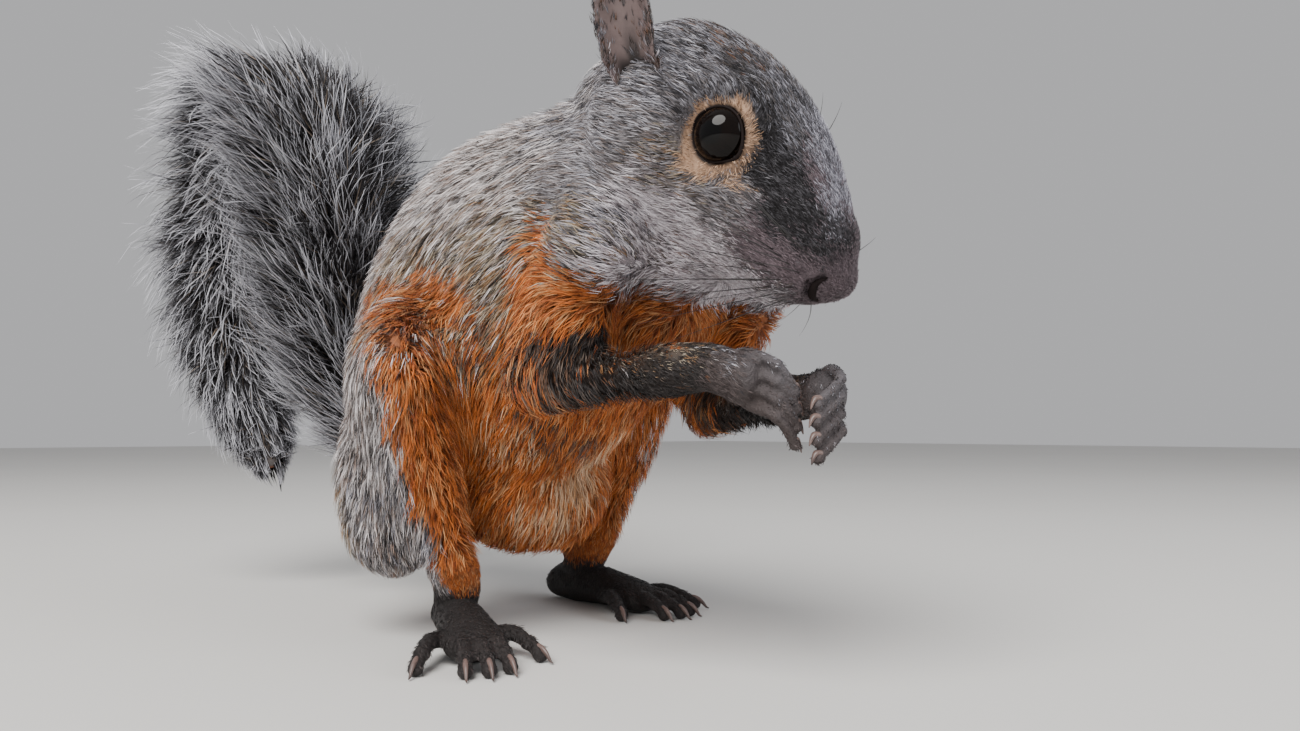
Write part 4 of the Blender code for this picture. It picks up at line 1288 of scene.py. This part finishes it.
def tail_coat():
    """Long locks that root round the tail's core and reach to its outline farther along."""
    centre, across, deep, half, thick, length = tail_run()
    total = length[-1]

    def at(s, turn, size, core=0.0):
        """Points at distance s along the tail, turned round it; size 1 is the outline."""
        out = []
        for part in (centre, across, deep):
            out.append(np.stack([np.interp(s, length, part[:, k]) for k in range(3)], axis=1))
        w = np.maximum(np.interp(s, length, half), 13) * size + core
        d = np.maximum(np.interp(s, length, thick), 8) * size * 1.05 + core
        beyond = np.clip(s - total, 0, None)
        ahead = unit(centre[-1] - centre[-3])
        middle = out[0] + beyond[:, None] * ahead
        shrink = np.clip(1 - (s - total + 7) / 19, 0.12, 1)
        aside = out[1] * (np.cos(turn) * w * shrink)[:, None]
        return middle + aside + out[2] * (np.sin(turn) * d * shrink)[:, None]

    lock_s = luck.uniform(0.03, 1.0, TAIL_LOCKS) ** 0.92 * total
    lock_turn = luck.uniform(0, 2 * math.pi, TAIL_LOCKS)
    lock_reach = luck.uniform(8, 19, TAIL_LOCKS)
    lock_size = luck.choice([1.12, 1.02, 0.9, 0.72], TAIL_LOCKS, p=[0.32, 0.34, 0.2, 0.14])
    lock_size = lock_size * luck.uniform(0.94, 1.06, TAIL_LOCKS)
    lock_bend = luck.normal(0, 0.10, TAIL_LOCKS)

    def each(values):
        return np.repeat(values, LOCK_HAIRS, axis=0)

    n = TAIL_LOCKS * LOCK_HAIRS
    s0 = np.clip(each(lock_s) + luck.normal(0, 4.5, n), 2, total)
    turn0 = each(lock_turn) + luck.normal(0, 0.22, n)
    face_on = np.clip(1.15 - np.abs(np.cos(turn0)), 0, 1) * smoothstep(0.2, -0.6, np.sin(turn0))
    low_part = smoothstep(0.62, 0.85, s0 / total) * 0.16
    silvered = luck.random(n) < 0.50 - 0.22 * face_on - low_part + 0.5 * (each(luck.random(TAIL_LOCKS)) - 0.5)
    grow = luck.uniform(0.45, 1.0, n) ** 0.6 * np.where(silvered, 1.0, 0.86)
    end = total + each(luck.uniform(-5, 11, TAIL_LOCKS))
    s1 = np.minimum(each(lock_s) + (each(lock_reach) + luck.normal(0, 3.0, n)) * grow, end)
    turn1 = each(lock_turn) + each(lock_bend) + luck.normal(0, 0.10, n)
    size1 = each(lock_size) * grow * luck.normal(1.0, 0.04, n)
    narrow = np.clip(s0 / 26, 0.25, 1)
    p0 = at(s0, turn0, 0.10 * narrow, 1.2)
    p3 = at(s1, turn1, size1, np.maximum(size1 - 0.8, 0) * 7)
    control = at(s0 * 0.6 + s1 * 0.4, turn0 * 0.5 + turn1 * 0.5, size1 * 0.86)

    def along(t):
        return p0 * (1 - t) ** 2 + control * 2 * t * (1 - t) + p3 * t * t

    p1 = along(0.42)
    p2 = along(0.76)
    run = unit(p2 - p1)
    middle = at(0.5 * (s0 + s1), turn1, np.zeros(n))
    out = unit(p2 - middle)
    flat = unit(np.cross(run, out))
    tilt = luck.uniform(-0.8, 0.8, n)[:, None]
    facing = unit(np.cross(flat, run))
    flat = flat * np.cos(tilt) + facing * np.sin(tilt)
    width = (luck.uniform(0.22, 0.38, n) / 2)[:, None]
    points = np.stack([p0 - flat * width, p0 + flat * width, p1 - flat * width, p1 + flat * width,
                       p2 - flat * width * 0.7, p2 + flat * width * 0.7, p3], axis=1)
    u = (turn0 / (2 * math.pi)) % 1.0
    v = s0 / (total * 1.02)
    strip = luck.integers(0, 3, n) / 3
    across_uv = np.array([0, 1, 0, 1, 0, 1, 0.5])[None] / 3 + strip[:, None]
    along_uv = np.array([0, 0, 0.42, 0.42, 0.76, 0.76, 1.0])[None] + 0 * strip[:, None]
    uvs = np.stack([u[:, None] * 0.995 + across_uv * PATCH, v[:, None] + along_uv * PATCH], axis=2)
    hair = luck.random((n, 1))
    pale = silvered[:, None]
    shade = luck.uniform(0.7, 1.15, (n, 1))
    root = np.where(hair < 0.2, TAIL_BUFF, TAIL_DARK) * shade
    low = np.where(hair > 0.85, TAIL_BUFF, TAIL_DARK) * shade
    high = np.where(pale, np.array(TAIL_SILVER) * 0.45, TAIL_DARK) * shade
    tip = np.where(pale, TAIL_SILVER, TAIL_BAND) * shade
    colours = np.stack([root, root, low, low, high, high, tip], axis=1)
    return points, uvs, colours


# ---------------------------------------------------------------- finishes
class Value:
    """A socket that takes part in Python arithmetic by adding Math nodes."""

    def __init__(self, finish, socket):
        self.finish = finish
        self.socket = socket

    def math(self, operation, *values):
        return self.finish.node("ShaderNodeMath", {"operation": operation}, *values)

    def __add__(self, other):
        return self.math("ADD", self, other)

    def __radd__(self, other):
        return self.math("ADD", other, self)

    def __sub__(self, other):
        return self.math("SUBTRACT", self, other)

    def __rsub__(self, other):
        return self.math("SUBTRACT", other, self)

    def __mul__(self, other):
        return self.math("MULTIPLY", self, other)

    def __rmul__(self, other):
        return self.math("MULTIPLY", other, self)


def found(sockets, key):
    """A node's socket by its name, with _ for a space, or by its identifier."""
    return next(s for s in sockets if key in (s.identifier, s.name.replace(" ", "_")))


class Finish:
    """A material built node by node."""

    def __init__(self, name):
        self.material = bpy.data.materials.new(name)
        self.material.use_nodes = True
        self.tree = self.material.node_tree
        self.tree.nodes.clear()

    def node(self, kind, settings, *values, output=None, **named):
        """A node with its settings and its sockets' values or links; its output comes back."""
        made = self.tree.nodes.new(kind)
        for key, value in settings.items():
            setattr(made, key, value)
        sockets = list(zip(made.inputs, values))
        sockets += [(found(made.inputs, key), value) for key, value in named.items()]
        for socket, value in sockets:
            self.feed(socket, value)
        if made.outputs:
            return Value(self, found(made.outputs, output) if output else made.outputs[0])

    def feed(self, socket, value):
        if isinstance(value, Value):
            self.tree.links.new(value.socket, socket)
        elif socket.type == "RGBA":
            socket.default_value = (*value, 1)
        else:
            socket.default_value = value

    def surface(self, **values):
        """The finished material, from its shader's values or links."""
        shader = self.node("ShaderNodeBsdfPrincipled", {}, **values)
        self.node("ShaderNodeOutputMaterial", {}, Surface=shader)
        return self.material

    def noise(self, scale, detail=2.0, rough=0.5):
        place = self.node("ShaderNodeTexCoord", {}, output="Object")
        return self.node("ShaderNodeTexNoise", {}, Vector=place, Scale=scale, Detail=detail, Roughness=rough)

    def painted(self, name, output="Fac"):
        """A value or colour that the mesh holds at its vertices."""
        return self.node("ShaderNodeAttribute", {"attribute_name": name}, output=output)

    def mixed(self, amount, first, second, blend="MIX"):
        return self.node("ShaderNodeMix", {"data_type": "RGBA", "blend_type": blend}, output="Result_Color",
                         Factor_Float=amount, A_Color=first, B_Color=second)


def hair_finish(name, rough, gloss):
    """Hair coloured along its length, with soft uneven patches of light and dark."""
    f = Finish(name)
    patchy = f.noise(110.0, 3.0, 0.6)
    shade = f.mixed(patchy, (0.72, 0.72, 0.72), (1.28, 1.28, 1.28))
    colour = f.mixed(1.0, f.painted("pelt", "Color"), shade, "MULTIPLY")
    fine = f.noise(900.0, 1.0, 0.5)
    return f.surface(Base_Color=colour, Roughness=rough - 0.1 + fine * 0.2, Specular_IOR_Level=gloss,
                     Sheen_Weight=0.12, Sheen_Roughness=0.4)


def skin_finish(name, rough, bump):
    """The skin under the coat, in the coat's own markings darkened by painted shade."""
    f = Finish(name)
    grain = f.noise(1900.0, 3.0, 0.6)
    patchy = f.noise(260.0, 2.0, 0.5)
    shade = f.mixed(patchy * 0.5 + grain * 0.5, (0.55, 0.55, 0.55), (1.35, 1.35, 1.35))
    colour = f.mixed(1.0, f.painted("pelt", "Color"), shade, "MULTIPLY")
    relief = f.node("ShaderNodeBump", {}, Strength=bump, Distance=0.0006, Height=grain)
    return f.surface(Base_Color=colour, Roughness=rough - 0.1 + grain * 0.2, Normal=relief,
                     Specular_IOR_Level=0.3)


def eye_finish():
    """Nearly black, with a dark brown iris round a black pupil and a wet front."""
    f = Finish("wet_dark_eye")
    ring = f.painted("iris")
    streak = f.noise(1500.0, 2.0, 0.5)
    brown = f.mixed(streak, (0.002, 0.0012, 0.0010), (0.005, 0.0026, 0.0018))
    colour = f.mixed(ring, (0.002, 0.0018, 0.002), brown)
    return f.surface(Base_Color=colour, Roughness=0.04 + streak * 0.02, IOR=1.38,
                     Specular_IOR_Level=0.28)


def ear_finish():
    """Thin skin: brown-grey behind, pinker in the hollow and nearly black at the ear hole, where the black is
    painted shade.
    """
    f = Finish("ear_skin")
    hollow = f.painted("hollow")
    opening_shade = f.painted("opening_shade")
    cloudy = f.noise(420.0, 3.0, 0.6)
    behind = f.mixed(cloudy, (0.065, 0.050, 0.048), (0.13, 0.10, 0.094))
    inside = f.mixed(cloudy, (0.095, 0.066, 0.064), (0.20, 0.145, 0.14))
    # the near black at the ear hole is painted shade
    colour = f.mixed(opening_shade, f.mixed(hollow, behind, inside), (0.012, 0.007, 0.007))
    return f.surface(Base_Color=colour, Roughness=0.55 + cloudy * 0.1)


def claw_finish():
    """Horn that darkens toward its tip."""
    f = Finish("horn_claw")
    depth = f.painted("toward_tip")
    cloudy = f.noise(1300.0, 2.0, 0.5)
    root = f.mixed(cloudy, (0.10, 0.066, 0.058), (0.20, 0.135, 0.12))
    colour = f.mixed(depth, root, (0.035, 0.024, 0.022))
    return f.surface(Base_Color=colour, Roughness=0.32 + cloudy * 0.12)


def plain_finish(name, colour, other, scale, rough, gloss=0.5):
    """A finish clouded between two near colours."""
    f = Finish(name)
    cloudy = f.noise(scale, 2.0, 0.5)
    return f.surface(Base_Color=f.mixed(cloudy, colour, other), Roughness=rough + cloudy * 0.1,
                     Specular_IOR_Level=gloss)


# ---------------------------------------------------------------- small pieces
def paint(obj, name, values):
    layer = obj.data.attributes.new(name, "FLOAT", "POINT")
    layer.data.foreach_set("value", np.asarray(values, dtype=np.float32))


def vertices_of(obj):
    return read(obj.data.vertices, "co", 3).astype(float) / MM


def outward_at(obj):
    """The outward direction at each vertex."""
    return read(obj.data.vertices, "normal", 3).astype(float)


def mark_skin(obj):
    """The coat's markings on the skin, nearly black round the eyes as dark lid skin, and in the nostrils and
    the line of the mouth as painted shade.
    """
    points = vertices_of(obj)
    colour = shaded_undercoat(markings(points, outward_at(obj)))
    both = mirror(head_frame(points))
    dark = smoothstep(6.3, 5.2, eye_gap(both)) * (both[:, 0] > 8)
    # painted shade in the pressed nostril and mouth folds
    for a, b, width, _ in NOSTRIL_AND_MOUTH:
        distance, _ = near(both, a, b)
        dark = np.maximum(dark, smoothstep(width * 1.4, width * 0.4, distance))
    paint_pelt(obj.data, colour * (1 - dark)[:, None] + np.array(DARK_LID_AND_FOLD_SHADE) * dark[:, None])


# near black of the bare lid skin, also used as painted shade in the nostril and mouth folds
DARK_LID_AND_FOLD_SHADE = (0.016, 0.011, 0.011)


def mark_ear(obj, side):
    """How far each place lies inside the ear's hollow, and how near the ear hole, which is painted nearly
    black as shade.
    """
    x, _, z = carried(ear_matrix(side).inverted(), vertices_of(obj)).T
    hollow = np.array(ear_matrix(side).to_3x3() @ Vector((0, -1, 0)))
    inner = smoothstep(-0.1, 0.5, outward_at(obj) @ hollow)
    paint(obj, "hollow", inner)
    # the slit of the ear hole, to be painted nearly black as shade
    slit = np.maximum(smoothstep(2.2, 0.6, np.abs(x - 0.4)) * smoothstep(17, 7, z),
                      smoothstep(3.6, 2.0, np.abs(x)) * smoothstep(10, 6, z))
    paint(obj, "opening_shade", inner * slit)


def outward_piece(name, bm):
    """A finished small piece whose faces all look outward."""
    bmesh.ops.recalc_face_normals(bm, faces=bm.faces)
    return smooth_object(name, bm)


def eye(side):
    sign = SIGN[side]
    bm = bmesh.new()
    matrix = HEAD @ Matrix.Translation(vec((sign * EYE_SIDE, EYE_BACK, 0)))
    bmesh.ops.create_icosphere(bm, subdivisions=5, radius=EYE_RADIUS * MM, matrix=matrix)
    obj = smooth_object("eyeball_" + side, bm)
    paint(obj, "iris", smoothstep(1.9, 2.5, eye_gap(head_frame(vertices_of(obj)))))
    return obj


def lids(side):
    """Dark bare rims of the lids round the open eye, a little drawn out at both corners."""
    sign = SIGN[side]
    bm = bmesh.new()
    rows = 56
    ring_sides = 10
    rings = []
    for i in range(rows):
        turn = 2 * math.pi * i / rows
        corner = max(0.0, math.cos(turn - math.pi)) ** 10
        back_corner = max(0.0, math.cos(turn)) ** 12
        r = 5.15 + 0.9 * corner + 0.35 * back_corner - 0.12 * abs(math.sin(turn))
        y = EYE_BACK + r * math.cos(turn)
        z = r * math.sin(turn) - 0.5 * corner
        reach = math.sqrt(max(EYE_RADIUS ** 2 - min(r, 5.0) ** 2, 0))
        x = EYE_SIDE + reach + 0.05
        thick = 0.22 + 0.04 * math.sin(turn) + 0.18 * corner
        ring = []
        for k in range(ring_sides):
            a = 2 * math.pi * k / ring_sides
            out = thick * math.cos(a)
            lift = thick * math.sin(a)
            place = (sign * (x + lift), y + out * math.cos(turn), z + out * math.sin(turn))
            ring.append(bm.verts.new(HEAD @ vec(place)))
        rings.append(ring)
    wall(bm, rings, closed=True)
    return outward_piece("lid_rim_" + side, bm)


def nostril(side, skin_tree):
    """The dark comma of a nostril, sunk into the skin of the nose; its near black is painted shade inside the
    nostril.
    """
    sign = SIGN[side]
    run = [(5.2, -29.2, -9.6, 0.2), (5.9, -28.2, -11.4, 0.62), (5.6, -28.2, -13.4, 0.85),
           (4.6, -29.0, -15.0, 0.8), (3.2, -30.4, -15.2, 0.25)]
    rows = []
    for x, y, z, thick in run:
        place, normal, _, _ = skin_tree.find_nearest(HEAD @ vec((sign * x, y, z)))
        place = (place + normal * 0.3 * MM) / MM
        rows.append(tuple(place) + (thick, thick))
    bm = bmesh.new()
    tube(bm, rows, across=tuple(HEAD.to_3x3() @ Vector((0, 1, 0))), sides=12, steps=4)
    return outward_piece("nostril_" + side, bm)


def whiskers(side):
    """Long fine bristles from the whisker pad, with a few over the brow."""
    sign = SIGN[side]
    bm = bmesh.new()
    for row in range(4):
        for k in range(4):
            t = k / 3
            root = Vector((sign * (6.2 + 2.6 * t), -25.5 + 5.0 * t, -8.5 - 3.0 * row + 0.6 * t))
            swing = 0.45 + 0.5 * t
            aim = Vector((sign * (1.0 - 0.25 * t), -0.35 + swing, 0.34 - 0.26 * row)).normalized()
            length = luck.uniform(24, 38) * (0.75 + 0.25 * t)
            bristle(bm, root, aim, length, Vector((0, 0.35, -0.5)))
    for k in range(2):
        root = Vector((sign * 11.5, -3 - 2.4 * k, 8.2))
        aim = Vector((sign * 0.7, 0.5 - 0.2 * k, 0.6)).normalized()
        bristle(bm, root, aim, 13, Vector((sign * 0.3, 0.5, -0.3)))
    return outward_piece("whiskers_" + side, bm)


def bristle(bm, root, aim, length, droop):
    """One tapering three-sided hair that droops along its length."""
    rings = []
    for i in range(8):
        t = i / 7
        middle = root + aim * length * t + droop * length * 0.28 * t * t
        ahead = (aim + droop * 0.56 * t).normalized()
        side = ahead.orthogonal().normalized()
        deep = ahead.cross(side)
        thick = 0.11 * (1 - t) + 0.02
        ring = []
        for k in range(3):
            a = 2 * math.pi * k / 3
            place = middle + side * math.cos(a) * thick + deep * math.sin(a) * thick
            ring.append(bm.verts.new(HEAD @ (place * MM)))
        rings.append(ring)
    wall(bm, rings)
    bm.faces.new(rings[0])
    bm.faces.new(rings[-1])


# ---------------------------------------------------------------- the animal
def add(obj, finish, replaced=()):
    """Set the finished piece down in the row's frame, finish it and tie it to the solids."""
    obj.data.transform(Matrix.Translation(SET_DOWN))
    obj.data.update()
    obj.data.materials.clear()
    obj.data.materials.append(finish)
    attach(obj, "root")
    if replaced:
        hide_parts(*replaced)


def gathered(sheets):
    """Several sheets of tufts as one: points, places on the unwrap, colours and hair kinds."""
    return [np.concatenate(parts) for parts in zip(*sheets)]


def add_ribbons(name, sheet, plan, finish):
    """A sheet of ribbons as pieces that each stay under the limit of triangles."""
    points, uvs, colours = sheet[:3]
    most = PIECE_LIMIT // len(plan)
    lots = math.ceil(len(points) / most)
    for i in range(lots):
        part = slice(i, None, lots)
        obj = ribbon_mesh("%s_%d" % (name, i + 1), points[part], plan, uvs[part], colours[part])
        add(obj, finish)


skin_fur = skin_finish("skin_under_coat", 0.75, 0.5)
bare_paw = skin_finish("paw_skin", 0.55, 0.9)
body_hair = hair_finish("grizzled_hair", 0.62, 0.28)
red_hair = hair_finish("rufous_hair", 0.66, 0.22)
tail_hair = hair_finish("silver_tail_hair", 0.55, 0.32)

bare_skin = body_skin()
skin_tree = BVHTree.FromBMesh(bare_skin)
skin = smooth_object("skin", bare_skin)
unwrap(skin)
mark_skin(skin)
coats = body_coat(skin)
paw_kinds = ["foot", "hand"] * 2
paws = [smooth_object("paw_skin_%d" % (i + 1), bm) for i, bm in enumerate(paw_skins())]
for paw in paws:
    unwrap(paw)
    mark_skin(paw)
paw_coats = [paw_coat(paw, kind) for paw, kind in zip(paws, paw_kinds)]
ears = [smooth_object("ear_skin_" + side, bm) for side, bm in zip(SIGN, ear_skins())]
for ear in ears:
    unwrap(ear)
ear_coats = [ear_coat(ear, side) for ear, side in zip(ears, SIGN)]

hair = gathered(coats + ear_coats)
warm = np.isin(hair[3], [PELT_NAMES.index("rufous"), PELT_NAMES.index("cream")])
add_ribbons("coat_rufous", [part[warm] for part in hair], BLADE, red_hair)
add_ribbons("coat_grey", [part[~warm] for part in hair], BLADE, body_hair)
add_ribbons("coat_paws", gathered(paw_coats), BLADE, body_hair)
add_ribbons("coat_tail", tail_coat(), LONG_BLADE, tail_hair)

add(skin, skin_fur, FLESH)
for paw in paws:
    add(paw, bare_paw)
ear_skin = ear_finish()
for ear, side in zip(ears, SIGN):
    mark_ear(ear, side)
    add(ear, ear_skin)
claws = claw_horns()
mark_claws(claws)
add(claws, claw_finish())
wet = eye_finish()
rim = plain_finish("lid_rim_skin", (0.008, 0.005, 0.005), (0.014, 0.009, 0.008), 700.0, 0.6, 0.1)
# near black of the nostrils: painted shade inside them
nose_hollow = plain_finish("nose_hollow", (0.006, 0.004, 0.004), (0.014, 0.009, 0.009), 900.0, 0.75, 0.1)
bristles = plain_finish("whisker_hair", (0.012, 0.010, 0.010), (0.03, 0.026, 0.024), 300.0, 0.4)
for side in SIGN:
    add(eye(side), wet, ["eye_" + side])
    add(lids(side), rim)
    add(nostril(side, skin_tree), nose_hollow)
    add(whiskers(side), bristles)

# ---------------------------------------------------------------- stage
floor_mesh = bpy.data.meshes.new("floor")
floor_mesh.from_pydata([(-3, -3, 0), (3, -3, 0), (3, 3, 0), (-3, 3, 0)], [], [(0, 1, 2, 3)])
floor = placed("floor", floor_mesh)
floor.data.materials.append(plain_finish("pale_floor", (0.62, 0.61, 0.59), (0.66, 0.65, 0.63), 4.0, 0.8))

world = bpy.data.worlds.new("studio")
bpy.context.scene.world = world
world.use_nodes = True
glow = world.node_tree.nodes["Background"].inputs
glow["Color"].default_value = (0.90, 0.90, 0.92, 1)
glow["Strength"].default_value = 0.55


def lamp(name, place, size, power, colour, aim):
    """A round soft lamp that looks at `aim`."""
    light = bpy.data.lights.new(name, "AREA")
    light.shape = "DISK"
    light.size = size
    light.energy = power
    light.color = colour
    obj = placed(name, light)
    obj.location = place
    obj.rotation_euler = (Vector(aim) - Vector(place)).to_track_quat("-Z", "Y").to_euler()


lamp("key", (-0.66, -0.34, 0.88), 0.8, 21.0, (1.0, 0.98, 0.95), (0, 0, 0.09))
lamp("fill", (0.5, -0.8, 0.4), 0.7, 3.5, (0.92, 0.95, 1.0), (0, 0, 0.08))

CAMERA_AT = vec((-132.9, -213.4, 50.0)) + SET_DOWN
VIEW_TURN = math.atan2(0.643, 0.766)  # from +Y toward +X
VIEW_RISE = math.radians(3.9)
SENSOR = 36.0
FRAME_WIDTH = 1300
FOCAL = 950  # in the frame width's own unit
camera_data = bpy.data.cameras.new("camera")
camera_data.sensor_width = SENSOR
camera_data.lens = SENSOR * FOCAL / FRAME_WIDTH
camera_data.clip_start = 0.01
camera = placed("camera", camera_data)
ahead = Vector((math.sin(VIEW_TURN) * math.cos(VIEW_RISE), math.cos(VIEW_TURN) * math.cos(VIEW_RISE),
                math.sin(VIEW_RISE)))
camera.location = CAMERA_AT
camera.rotation_euler = ahead.to_track_quat("-Z", "Y").to_euler()
bpy.context.scene.camera = camera
